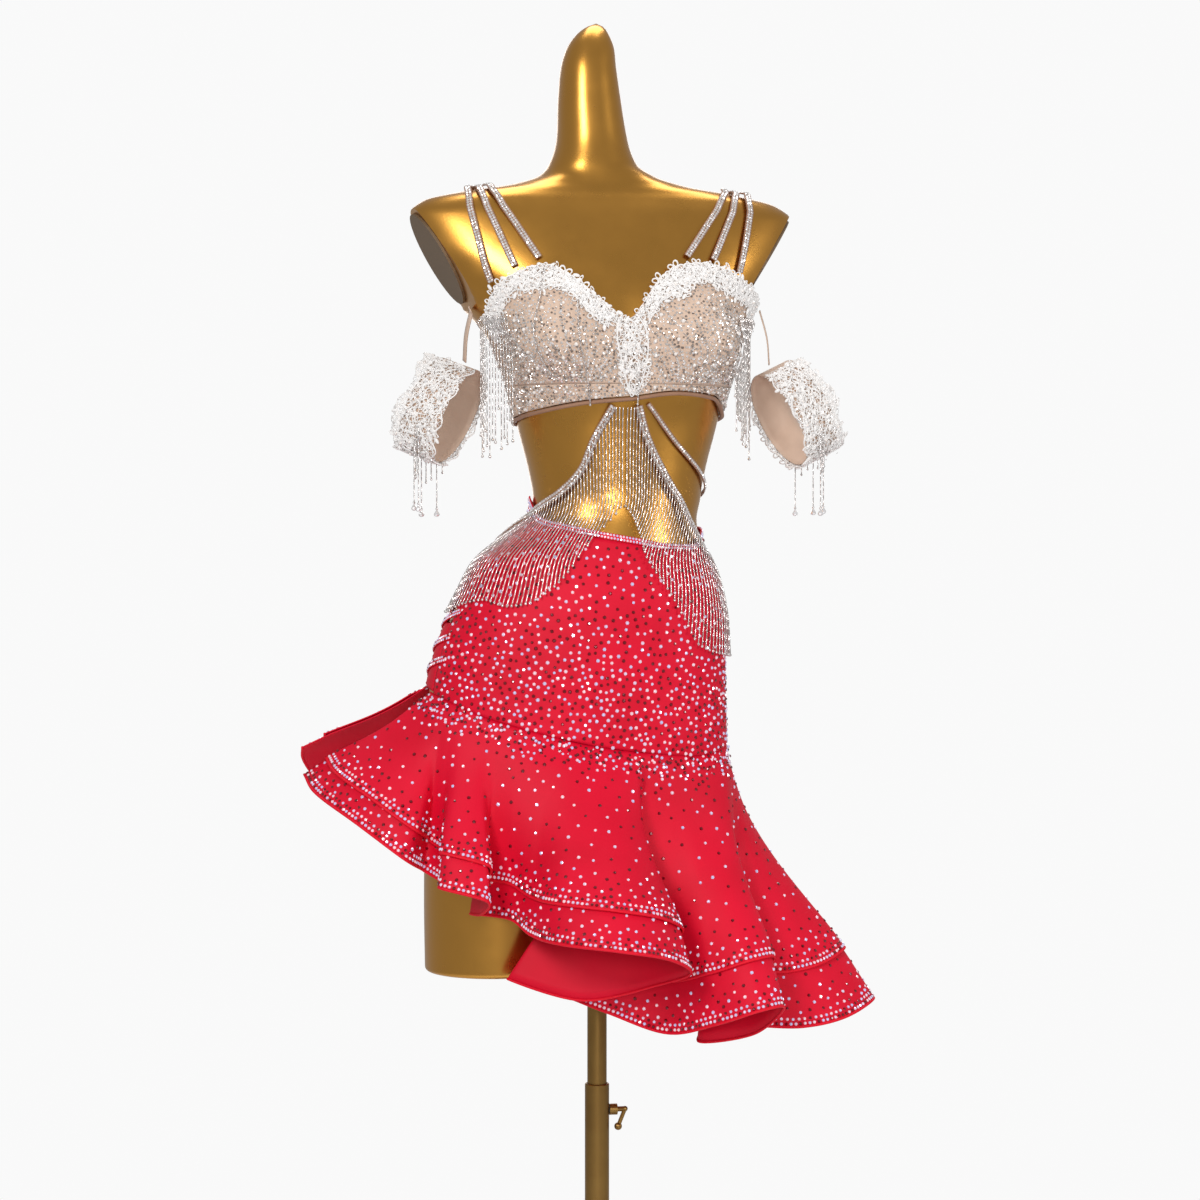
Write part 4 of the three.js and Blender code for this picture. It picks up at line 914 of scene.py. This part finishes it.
def buildFlounce():
    lowerOut, upperOut = flounceLayer, 2 * flounceLayer + tierSpread
    for side, start, end, across in (("front", 0, sideSplit - 0.012, 560),
                                     ("back", sideSplit + 0.012, lastRow, 300)):
        for tier, lift, hem in (("lower", lowerOut, 1.0), ("upper", upperOut, upperLength)):
            face = tierFace(lift)
            foot = 1 - hem + 0.004
            grid = squareGrid(face, across, 28, start, end, foot, seamLap)
            cloth = shellOf(f"flounce_{tier}_{side}_cloth", grid, flounceLayer, "red")
            finishPiece(cloth, [f"flounce_{tier}_{side}"])
            rows = np.linspace(start, end, across + 1)
            roll = tubeOf(f"hem_{tier}_{side}_roll",
                          tierFace(lift - flounceLayer / 2)(rows, np.full_like(rows, foot)),
                          1.5, "edging", 8)
            finishPiece(roll, [f"hem_{tier}_{side}"])
            stateSheet(grid)

            # close rows of stones over the hem, then thinner and thinner up the cloth
            fine = np.linspace(start, end, 2400)
            length = fallLength(fine)
            for away, spacing, size in ((5.0, 5.4, 2.0), (10.5, 6.6, 1.9)):
                places, normals = rowAlong(face, fine, 1 - hem + away / length, spacing)
                keepStones(skirtStones, places, normals, size, mixedTints(len(places), 0.3))
            top = 0.985 if tier == "upper" else 1 - upperLength + 0.02
            if tier == "upper":
                for away in (1.5, 7.5, 14.0, 21.0):
                    places, normals = rowAlong(face, fine, 1 - away / length, 6.2 + away * 0.12)
                    places = places + random.normal(0, 1.7, places.shape) * [1, 0.6, 1]
                    keepStones(skirtStones, places, normals, 2.0, mixedTints(len(places), 0.4))

            def gap(row, up):
                above = (up - 1 + hem) * np.interp(row, fine, length)
                below = (1 - up) * np.interp(row, fine, length)
                ragged = 24 + 15 * np.sin(row * 2.6) + 8 * np.sin(row * 7.1)
                return np.minimum(7.4 + 7.2 * ease(14, 62, above),
                                  6.5 + 8.1 * ease(ragged - 14, ragged + 46, below))

            def clear(row, up):
                return (up - 1 + hem) * np.interp(row, fine, length) > 15
            places, normals, _, _ = scatter(face, (start, end), (1 - hem, top), gap, clear,
                                            crowd=9.0, columns=700)
            keepStones(skirtStones, places, normals, random.uniform(1.7, 2.3, len(places)),
                       mixedTints(len(places), 0.45))


# The bra

braTop = table("turn height", [
    (-78, 1352), (-70, 1371), (-60, 1397), (-54, 1407), (-44, 1415), (-36, 1410), (-24, 1391), (-10, 1366),
    (0, 1356), (12, 1376), (27, 1404), (38, 1416), (50, 1420), (60, 1412), (69, 1394), (78, 1366)])
braFoot = table("turn height", [
    (-90, 1238), (-78, 1245), (-60, 1251), (-28, 1261), (0, 1265), (30, 1272),
    (53, 1268), (78, 1250), (90, 1246)])
backTop = table("turn height", [
    (78, 1360), (105, 1312), (135, 1296), (180, 1292), (225, 1296), (255, 1304), (282, 1346)])
backFoot = table("turn height", [(78, 1250), (110, 1244), (180, 1242), (250, 1240), (282, 1245)])
cupFoot = 1284
braEdge = 5
sideSeam = 78
laceOut = clothClear + clothWall + seamGap + 0.9
laceDeep = 24
topOf = lambda turn: along(braTop, "turn", "height", turn)
footOf = lambda turn: along(braFoot, "turn", "height", turn)
backTopOf = lambda turn: along(backTop, "turn", "height", turn)
backFootOf = lambda turn: along(backFoot, "turn", "height", turn)
edgeLow = lambda turn: np.where(turn <= sideSeam, footOf(turn), backFootOf(turn))
braStones = {"places": [], "normals": [], "sizes": [], "tints": []}
pearls = {"places": [], "sizes": []}


def bodyPanel(start, end, low, high, out):
    def face(u, v):
        turn = start + (end - start) * u
        return onBody(turn, low(turn) + (high(turn) - low(turn)) * v, out)
    return face


def scatterPearls(face, spacing, sizeRange, lift=1.0):
    places, normals, _, _ = scatter(face, (0.02, 0.98), (0.04, 0.96), lambda u, v: spacing + 0 * u)
    pearls["places"].append(places + normals * lift)
    pearls["sizes"].append(random.uniform(*sizeRange, len(places)))


def buildBra():
    outside = clothClear + clothWall
    bandLow = braEdge + 2.5 * seamGap
    for name, start, end in (("right", -sideSeam, 0), ("left", 0, sideSeam)):
        start, end = start + gapTurn, end - gapTurn
        cup = bodyPanel(start, end, lambda t: cupFoot + seamGap + 0 * t, topOf, outside)
        band = bodyPanel(start, end, lambda t: footOf(t) + bandLow, lambda t: cupFoot + 0 * t, outside)
        for label, face, up in (("cup", cup, 40), ("band", band, 10)):
            grid = squareGrid(face, 90, up)
            piece = finishPiece(shellOf(f"{label}_{name}_cloth", grid, clothWall, "nude"),
                                [f"{label}_{name}"])
            stateSheet(grid, stretch=1.05)
        places, normals, _, _ = scatter(cup, (0.01, 0.99), (0.02, 0.98), lambda u, v: 2.9 + 1.1 * v,
                                        crowd=7, columns=220)
        keepStones(braStones, places, normals, random.uniform(1.1, 1.8, len(places)),
                   random.uniform(0.12, 1.0, len(places)))
        places, normals, _, _ = scatter(band, (0.01, 0.99), (0.05, 0.95), lambda u, v: 2.9 + 0 * u,
                                        crowd=7, columns=220)
        keepStones(braStones, places, normals, random.uniform(1.15, 1.75, len(places)),
                   random.uniform(0.12, 1.0, len(places)))
        # fan lines of larger stones from the foot of the cup
        centre = 0.58 if name == "right" else 0.42
        for spread in np.linspace(-0.52, 0.52, 15) + random.uniform(-0.015, 0.015, 15):
            w = np.linspace(0, 1, 80)
            u = np.clip(centre + spread * (0.3 + 0.7 * w) + 0.02 * np.sin(w * 5), 0.01, 0.99)
            places, normals = rowAlong(cup, u, 0.02 + random.uniform(0.5, 0.8) * w, 3.6)
            keep = random.random(len(places)) < 0.85
            keepStones(braStones, places[keep], normals[keep], 1.5, random.uniform(0.2, 1.0, keep.sum()))
        scatterPearls(cup, 15, (1.6, 2.4))
        scatterPearls(band, 11, (1.6, 2.2))
    back = bodyPanel(sideSeam + gapTurn, 360 - sideSeam - gapTurn,
                     lambda t: backFootOf(t) + bandLow, backTopOf, outside)
    grid = squareGrid(back, 140, 16)
    piece = finishPiece(shellOf("band_back_cloth", grid, clothWall, "nude"), ["band_back"])
    stateSheet(grid, stretch=1.05)
    places, normals, _, _ = scatter(back, (0.01, 0.99), (0.05, 0.95), lambda u, v: 4.6 + 0 * u, crowd=4)
    keepStones(braStones, places, normals, random.uniform(1.1, 1.6, len(places)), random.random(len(places)))
    scatterPearls(back, 16, (1.6, 2.2))

    # the rolled binding under the band, all the way round
    turn = np.linspace(-sideSeam, 360 - sideSeam, 400, endpoint=False)
    middle = onBody(turn, edgeLow(turn) + braEdge / 2, clothClear + 1.0)
    roll = tubeOf("band_edge_roll", middle, 2.3, "nudeEdge", 10, closed=True)
    finishPiece(roll, ["band_edge"])


# White lace: raised flowers and leaves joined by cords over an open net

# One petal or leaf: a raised cord round an open middle, or a solid pad
def petal(x, y, wide, long, angle, open=True):
    ring = np.linspace(0, 2 * pi, 10, endpoint=False)
    profile = [(1.0, -0.5), (0.98, 0.6), (0.8, 0.75), (0.62, -0.5)] if open else \
        [(1.0, -0.5), (0.9, 0.5), (0.5, 0.95), (0.1, 1.0)]
    rings = [np.c_[np.cos(ring) * wide * r, np.sin(ring) * long * r, np.full(10, h)] for r, h in profile]
    points = np.concatenate(rings)
    c, s = cos(angle), sin(angle)
    points = points @ np.array([[c, s, 0], [-s, c, 0], [0, 0, 1]]) + np.array([x, y, 0])
    quads = gridFaces(4, 10, True)
    i = np.arange(10)
    fans = np.stack([30 + i[1:-1], 30 + i[2:], np.full(8, 30)], -1) if not open else np.zeros((0, 3), int)
    return points, quads, fans


def joined(parts):
    points, quads, fans, shift = [], [], [], 0
    for p, q, f in parts:
        points.append(p)
        quads.append(q + shift)
        fans.append(f + shift)
        shift += len(p)
    return np.concatenate(points), [f for f in (np.concatenate(quads), np.concatenate(fans)) if len(f)]


def flowerShape(petals=5, reach=4.3):
    turns = np.arange(petals) * 2 * pi / petals
    parts = [petal(reach * cos(a), reach * sin(a), 3.1, 2.3, a) for a in turns]
    return joined([*parts, petal(0, 0, 1.7, 1.7, 0, False)])


def sprigShape():
    leaves = [(-5.5, 1.6, 0.5), (-1.8, 2.8, 0.9), (2.4, 2.4, 0.4),
              (-3.4, -2.2, -0.7), (0.8, -2.7, -0.8), (5.8, 0, 0)]
    return joined([petal(x, y, 3.0, 1.4, angle, k % 2 == 0) for k, (x, y, angle) in enumerate(leaves)])


def buildLaceOn(name, face, places, normals, cords, nodes, grid):
    half = np.arange(len(places)) % 2 == 0
    for label, shape, pick, size in (("flowers", flowerShape(), half, (1.0, 1.55)),
                                     ("sprigs", sprigShape(), ~half, (1.0, 1.5))):
        chosen = places[pick]
        if len(chosen):
            scale = random.uniform(*size, len(chosen))
            scales = np.stack([scale, scale, np.full(len(chosen), 1.3)], -1)
            finishPiece(copies(f"{name}_{label}", shape, chosen + normals[pick] * 0.4,
                                            framesFor(normals[pick]), scales, "thread", True))
    for k, line in enumerate(cords):
        finishPiece(tubeOf(f"{name}_cord_{k + 1}", line, 0.85, "thread", 6))
    net = finishPiece(shellOf(f"{name}_net", grid, 0.5, "net"), nodes)
    stateSheet(grid)
    pearls["places"].append(places[half] + normals[half] * 2.4)
    pearls["sizes"].append(np.full(half.sum(), 1.5))
    spare = random.random(len(places)) < 0.6
    shift = random.normal(0, 2.5, (spare.sum(), 3)) * [1, 0.2, 1]
    keepStones(braStones, places[spare] + shift + normals[spare] * 1.3,
               normals[spare], 1.3, random.uniform(0.8, 1.0, spare.sum()))


def buildLace():
    top = laceOut + 0.4
    for side, sign in (("right", -1), ("left", 1)):
        near, far = sorted((sign * 11, sign * (sideSeam - 2)))
        low = lambda t: topOf(t) - laceDeep - 5 * np.sin(np.radians(t * 14))
        face = bodyPanel(near, far, low, lambda t: topOf(t) - 0.5, top)
        grid = squareGrid(face, 110, 12)
        rows = []
        for v, spacing, offset in ((0.84, 13.0, 0), (0.46, 12.5, 5), (0.1, 14.5, 2)):
            u = np.linspace(0.015 + offset * 0.004, 0.985, 300)
            rows.append(rowAlong(face, u, v + 0.07 * np.sin(u * 37), spacing))
        places, normals = np.concatenate([r[0] for r in rows]), np.concatenate([r[1] for r in rows])
        u = np.linspace(0.0, 1.0, 260)
        cords = [face(u, 0.98 + 0.03 * np.sin(u * 95)) + 0.3, face(u, 0.03 + 0.05 * np.sin(u * 60)),
                 face(u, 0.68 + 0.1 * np.sin(u * 80)), face(u, 0.33 - 0.1 * np.sin(u * 70))]
        buildLaceOn(f"lace_{side}", face, places, normals, cords, [f"lace_neck_{side}"], grid)
    centre = bodyPanel(-10.6, 10.6, lambda t: 1272 + 0.17 * t * t, lambda t: topOf(t) - 1, top)
    grid = squareGrid(centre, 40, 40)
    u = np.array([0.5, 0.2, 0.8, 0.5, 0.25, 0.75, 0.5, 0.33, 0.67, 0.12, 0.88, 0.5])
    v = np.array([0.06, 0.3, 0.3, 0.36, 0.55, 0.55, 0.66, 0.8, 0.8, 0.93, 0.93, 0.95])
    w = np.linspace(0, 1, 120)
    cords = [centre(0.5 + side * (0.12 + 0.33 * np.sin(w * pi * 0.9)), w) for side in (-1, 1)]
    cords += [centre(0.5 + 0.16 * np.sin(w * 4 * pi + turn), w) for turn in (0, pi)]
    buildLaceOn("lace_middle", centre, centre(u, v), faceNormals(centre, u, v), cords,
                ["lace_centre"],
                grid)


# Shoulder straps: three a side in front and one behind, each with two rows of stones

shoulderTop = {"right": (-141, -16, 1507), "left": (156, -16, 1507)}
strapFeet = {
    "right": [("inner", -46, 1417, 9), ("middle", -55, 1408, 0), ("outer", -63.5, 1391, -9)],
    "left": [("inner", 44, 1421, -9), ("middle", 55, 1418, 0), ("outer", 64, 1406, 9)],
}
strapWidth = 8


def strapFace(points, width, clear):
    def line(u):
        return clearOfBody(throughPoints(points, u), clear)

    def face(u, v):
        at = line(u)
        run = unit(line(np.clip(u + 0.01, 0, 1)) - line(np.clip(u - 0.01, 0, 1)))
        out = unit(clearOfBody(at, 60) - at)
        side = unit(np.cross(out, run))
        return at + side * ((v - 0.5) * width)[..., None] + np.cross(run, side) * trimWall
    return face


def buildStraps():
    clear = 2.6
    for side, top in shoulderTop.items():
        top = np.array(top, float)
        routes = []
        for name, turn, height, split in strapFeet[side]:
            start = onBody(turn, height + 6, clear)
            end = top + (split * 1.02, 0 if name == "middle" else 1, 0)
            routes.append((name, np.array([start, start * 0.45 + end * 0.55, end]), strapWidth))
        endTurn = 228 if side == "right" else 132
        blade = onBody(236 if side == "right" else 124, 1420)
        end = onBody(endTurn, backTopOf(endTurn) + 5, clear)
        routes.append(("back", np.array([top + (0, 7, 0.6), (top[0], 34, top[2]), blade, end]), 12))
        for name, route, width in routes:
            face = strapFace(route, width, clear)
            grid = squareGrid(face, 60, 4)
            strap = shellOf(f"strap_{side}_{name}_tape", grid, trimWall, "nudeEdge", away=(0, 0, 1400))
            finishPiece(strap, [f"strap_{side}_{name}"])
            for v in (0.3, 0.7):
                u = np.linspace(0, 1, 120)
                places, normals = rowAlong(face, u, np.full(120, v), 3.3)
                normals *= np.sign(np.sum(normals * (places - (0, 0, 1400)), -1, keepdims=True))
                keepStones(braStones, places, normals, 1.75, random.uniform(0.6, 1.0, len(places)))


# Strings of glass beads

strings = {"places": [], "axes": [], "lengths": [], "tints": []}
seeds = {"places": [], "sizes": [], "tints": []}
drops = {"places": [], "sizes": []}


# Hangs bugles and seeds on strands: place(k, w) is strand k's line with w from 0 at its top to 1 at its foot.
def hangStrands(place, n, pitch, seedSize=0.95, endSize=1.6):
    ks = np.arange(n)
    w = np.linspace(0, 1, 12)
    lines = place(np.repeat(ks, 12), np.tile(w, n)).reshape(n, 12, 3)
    length = np.linalg.norm(np.diff(lines, axis=1), axis=-1).sum(1)
    counts = np.maximum(1, np.round(length / pitch).astype(int))
    strand = np.repeat(ks, counts)
    order = np.arange(counts.sum()) - np.repeat(np.cumsum(counts) - counts, counts)
    each = counts[strand]
    top, foot = place(strand, order / each), place(strand, (order + 1) / each)
    strings["places"].append((top + foot) / 2)
    strings["axes"].append(foot - top)
    strings["lengths"].append(np.linalg.norm(foot - top, axis=-1) - 1.3)
    strings["tints"].append(random.uniform(0.25, 1.0, len(strand)))
    seeds["places"].append(foot)
    seeds["sizes"].append(np.where(order + 1 == each, endSize, seedSize))
    seeds["tints"].append(random.uniform(0.5, 1.0, len(strand)))


def setBeads():
    places, axes = np.concatenate(strings["places"]), np.concatenate(strings["axes"])
    lengths = np.concatenate(strings["lengths"])
    scales = np.stack([np.full(len(lengths), 0.66), np.full(len(lengths), 0.66), lengths], -1)
    bugles = copies("bugle_beads", bugleShape, places, framesFor(axes), scales, "beads", True,
                    np.concatenate(strings["tints"]))
    finishPiece(bugles, ["bead_fringe_right", "bead_fringe_left", "side_fringe_right",
                                        "side_fringe_left", "sleeve_fringe_right", "sleeve_fringe_left"])
    places, size = np.concatenate(seeds["places"]), np.concatenate(seeds["sizes"])
    up = np.tile([0, 0, 1.0], (len(places), 1))
    finishPiece(copies("seed_beads", seedShape, places, framesFor(up), size, "beads", True,
                       np.concatenate(seeds["tints"])))
    places, size = np.concatenate(drops["places"]), np.concatenate(drops["sizes"])
    up = np.tile([0, 0, 1.0], (len(places), 1))
    finishPiece(copies("crystal_drops", dropShape, places, framesFor(up), size, "clearStones", False,
                       random.uniform(0.85, 1.0, len(places))))
    places, size = np.concatenate(pearls["places"]), np.concatenate(pearls["sizes"])
    up = np.tile([0, 0, 1.0], (len(places), 1))
    finishPiece(copies("pearls", pearlShape, places, framesFor(up), size, "pearl", True))


sideTops = {"right": table("turn height", [(-86, 1356), (-78, 1359), (-72, 1363), (-60, 1363)]),
            "left": table("turn height", [(60, 1363), (72, 1363), (78, 1360), (86, 1357)])}
sideFeet = {"right": table("turn height", [(-84, 1206), (-73, 1188), (-62, 1206)]),
            "left": table("turn height", [(62, 1226), (73, 1196), (84, 1222)])}


# A strand's line (turn, w): upright from its strap, as far out as the strap or the body under it.
def uprightFrom(tops, feet, turns, lengths=None):
    def place(k, w):
        turn = turns[k]
        top = along(tops, "turn", "height", turn) - 2
        reach = (along(feet, "turn", "height", turn) + 1.5 - top) * (1 if lengths is None else lengths[k])
        height = top + reach * w
        hang, below = onBody(turn, top), onBody(turn, height)
        low, high = (along(bodySections, "height", "middle", h) for h in (height, top))
        middle = (low + high) / 2
        radius = np.maximum(np.hypot(below[..., 0] - middle, below[..., 1]),
                            np.hypot(hang[..., 0] - middle, hang[..., 1]) - 6) + strapOut + 3.2
        ahead = unit(np.stack([below[..., 0] - middle, below[..., 1]], -1)) * radius[..., None]
        return np.stack([middle + ahead[..., 0], ahead[..., 1], height], -1)
    return place


def buildBustFringe():
    for side, start, end in (("right", -79.5, -58.5), ("left", 57.5, 78.5)):
        turns = np.linspace(start, end, 14)
        lengths = random.uniform(0.62, 1.0, 14)
        hangStrands(uprightFrom(sideTops[side], sideFeet[side], turns, lengths), 14, 9.0, 1.0, 1.9)
    # three short strings on the cups
    rows = table("turn top foot", [(-43, 1410, 1302), (-27.5, 1374, 1262), (3, 1300, 1262)])

    def cupPlace(k, w):
        return onBody(rows["turn"][k], rows["top"][k] + (rows["foot"][k] - rows["top"][k]) * w, laceOut + 2.4)
    hangStrands(cupPlace, 3, 7.0)


# The drop sleeves

sleeves = {
    "right": {"middle": (-182, -12, 1257), "long": (0.46, 0.1, 0.88), "face": (0.86, -0.48, 0.1),
              "hang": (-148, -30, 1374), "outward": 1},
    "left": {"middle": (225, -30, 1256), "long": (-0.46, 0.1, 0.88), "face": (-0.95, -0.3, 0.1),
             "hang": (184, -34, 1372), "outward": -1},
}
sleeveLong, sleeveShort, sleeveBand = 56, 34, 48


def sleeveRim(sleeve, s, lift, shift):
    long = unit(np.array(sleeve["long"]))
    face = np.array(sleeve["face"])
    axis = unit(face - long * face.dot(long))
    short = np.cross(long, axis)
    s, lift, shift = (np.asarray(a, float)[..., None] for a in np.broadcast_arrays(s, lift, shift))
    out = unit(long * np.cos(s) * sleeveShort + short * np.sin(s) * sleeveLong)
    return (np.array(sleeve["middle"]) + long * np.cos(s) * sleeveLong + short * np.sin(s) * sleeveShort
            + out * lift + axis * shift)


def buildSleeves():
    half = sleeveBand / 2
    for side, sleeve in sleeves.items():
        outward, middle = sleeve["outward"], sleeve["middle"]
        s = np.linspace(0, 2 * pi, 97)[None, :-1]
        shift = np.linspace(-half, half, 7)[:, None]
        grid = sleeveRim(sleeve, outward * s, 1.2, shift)
        band = shellOf(f"sleeve_band_{side}_elastic", grid, 1.2, "nude", closed=True, away=middle)
        finishPiece(band, [f"sleeve_band_{side}"])
        stateSheet(np.concatenate([grid, grid[:, :1]], 1))

        # u runs so that the face looks outwards on both sides
        def face(u, v):
            angle = 0.15 * pi + 1.7 * pi * (u if outward < 0 else 1 - u)
            wave = 4 * np.sin(u * 26) * (1 - v)
            return sleeveRim(sleeve, outward * angle, 3.4, -half - 8 + (sleeveBand + 12) * v - wave)
        grid = squareGrid(face, 90, 10)
        atMiddle = np.array([0.5])
        test = faceNormals(face, atMiddle, atMiddle)[0].dot(face(atMiddle, atMiddle)[0] - middle)
        places, normals, u, v = scatter(face, (0.02, 0.98), (0.06, 0.94), lambda a, b: 11.5 + 0 * a)
        normals = normals * np.sign(test)
        w = np.linspace(0, 1, 200)
        cords = [face(w, at + 0.07 * np.sin(w * wave))
                 for at, wave in ((0.97, 50), (0.05, 45), (0.36, 60), (0.68, 55))]
        outer = grid if test > 0 else grid[:, ::-1]
        buildLaceOn(f"sleeve_{side}", face, places, normals, cords,
                    [f"sleeve_lace_{side}"], outer)
        more, normals, _, _ = scatter(face, (0.02, 0.98), (0.03, 0.97), lambda a, b: 12.0 + 0 * a)
        keepStones(braStones, more + normals * np.sign(test) * 1.2, normals * np.sign(test), 1.5,
                   random.uniform(0.8, 1.0, len(more)))

        # strands with drops from the loop's lower half
        n = 11
        angle = outward * np.linspace(0.66, 1.34, n) * pi
        tops = sleeveRim(sleeve, angle, 5, 0) + unit(np.array(sleeve["face"]) * (1, 1, 0)) * 1.2
        long = np.array([1 if k % 3 == 1 else 0 for k in range(n)])
        foot = np.where(long, 1138 + 14 * random.random(n), 1172 + 22 * random.random(n))
        place = lambda k, w: tops[k] + np.stack([0 * w, 0 * w, (foot[k] - tops[k, 2]) * w], -1)
        hangStrands(place, n, 8.0)
        ends = tops[long > 0].copy()
        ends[:, 2] = foot[long > 0] - 5.5
        drops["places"].append(ends)
        drops["sizes"].append(np.full(len(ends), 3.4))

        # the hanger from the bra's side to the loop
        top = sleeveRim(sleeve, 0, 3.4, 0)
        away = unit(np.array([-outward, -0.3, 0]))
        hang = np.array(sleeve["hang"], float)
        line = np.array([hang, (hang + top) / 2 + away * 3, top + (0, 0, 2.5)])
        spots = clearOfBody(throughPoints(line, np.linspace(0, 1, 24)), 3.5)
        run = unit(np.gradient(spots, axis=0))
        across = unit(np.cross(away, run))
        grid = np.stack([spots + across * x for x in (-4.5, -1.5, 1.5, 4.5)], 0)
        strap = shellOf(f"sleeve_hanger_{side}_tape", grid, trimWall, "nude", away=(0, 0, 1300))
        finishPiece(strap, [f"sleeve_hanger_{side}"])


# The waist straps and the fringe that hangs from two of them

fringeStrapRight = table("turn height", [
    (-13, 1260), (-26, 1222), (-36, 1187), (-52, 1162), (-72, 1142), (-92, 1118), (-112, 1098), (-134, 1086)])
fringeStrapLeft = table("turn height", [
    (4, 1260), (12, 1222), (28, 1178), (48, 1138), (61, 1116), (73, 1093), (90, 1068), (112, 1050)])
thinStrapLeft = table("turn height", [
    (11, 1262), (36, 1216), (60, 1187), (82, 1168), (112, 1154), (150, 1143), (176, 1138)])
fringeFootRight = table("turn height", [
    (-134, 1040), (-110, 1026), (-88, 1026), (-76, 1036), (-64, 1041), (-52, 1034), (-43, 1037), (-36, 1046),
    (-22, 1078), (-14, 1119), (-6, 1146)])
fringeFootLeft = table("turn height", [
    (-3, 1146), (15, 1113), (25, 1087), (39, 1048), (47, 1022), (58, 988), (72, 978), (92, 974), (112, 978)])


def buildWaist():
    for name, rows, width, out in (("fringe_strap_right", fringeStrapRight, 9, strapOut),
                                   ("fringe_strap_left", fringeStrapLeft, 9, strapOut),
                                   ("thin_strap_left", thinStrapLeft, 5.5, clothClear)):
        route = np.c_[rows["turn"], rows["height"]]
        strap, face = bandOnBody(f"{name}_tape", route, width, out, trimWall, 140, "nudeEdge")
        finishPiece(strap, [name])
        for v in ((0.27, 0.73) if width > 6 else (0.5,)):
            places, normals = rowAlong(face, np.linspace(0, 1, 500), np.full(500, v), 3.5)
            keepStones(braStones, places, normals, 1.85, random.uniform(0.65, 1.0, len(places)))

    for strap, feet, start, end in ((fringeStrapRight, fringeFootRight, -132, -6.5),
                                    (fringeStrapLeft, fringeFootLeft, -3.5, 110)):
        order = np.argsort(strap["turn"])
        tops = {key: strap[key][order] for key in strap}
        n = int((end - start) / 2.1)
        hangStrands(uprightFrom(tops, feet, np.linspace(start, end, n)), n, 12.0, 0.8, 1.7)


buildStudio()
buildForm()
buildStand()
print("form and stand")
buildYoke()
buildFlounce()
print("skirt")
buildBra()
buildLace()
buildStraps()
print("bra")
buildBustFringe()
buildSleeves()
buildWaist()
print("fringe")
setStones("skirt_stones_set", skirtStones, "redStones")
setStones("bra_stones_set", braStones, "clearStones")
setBeads()
print("stones")
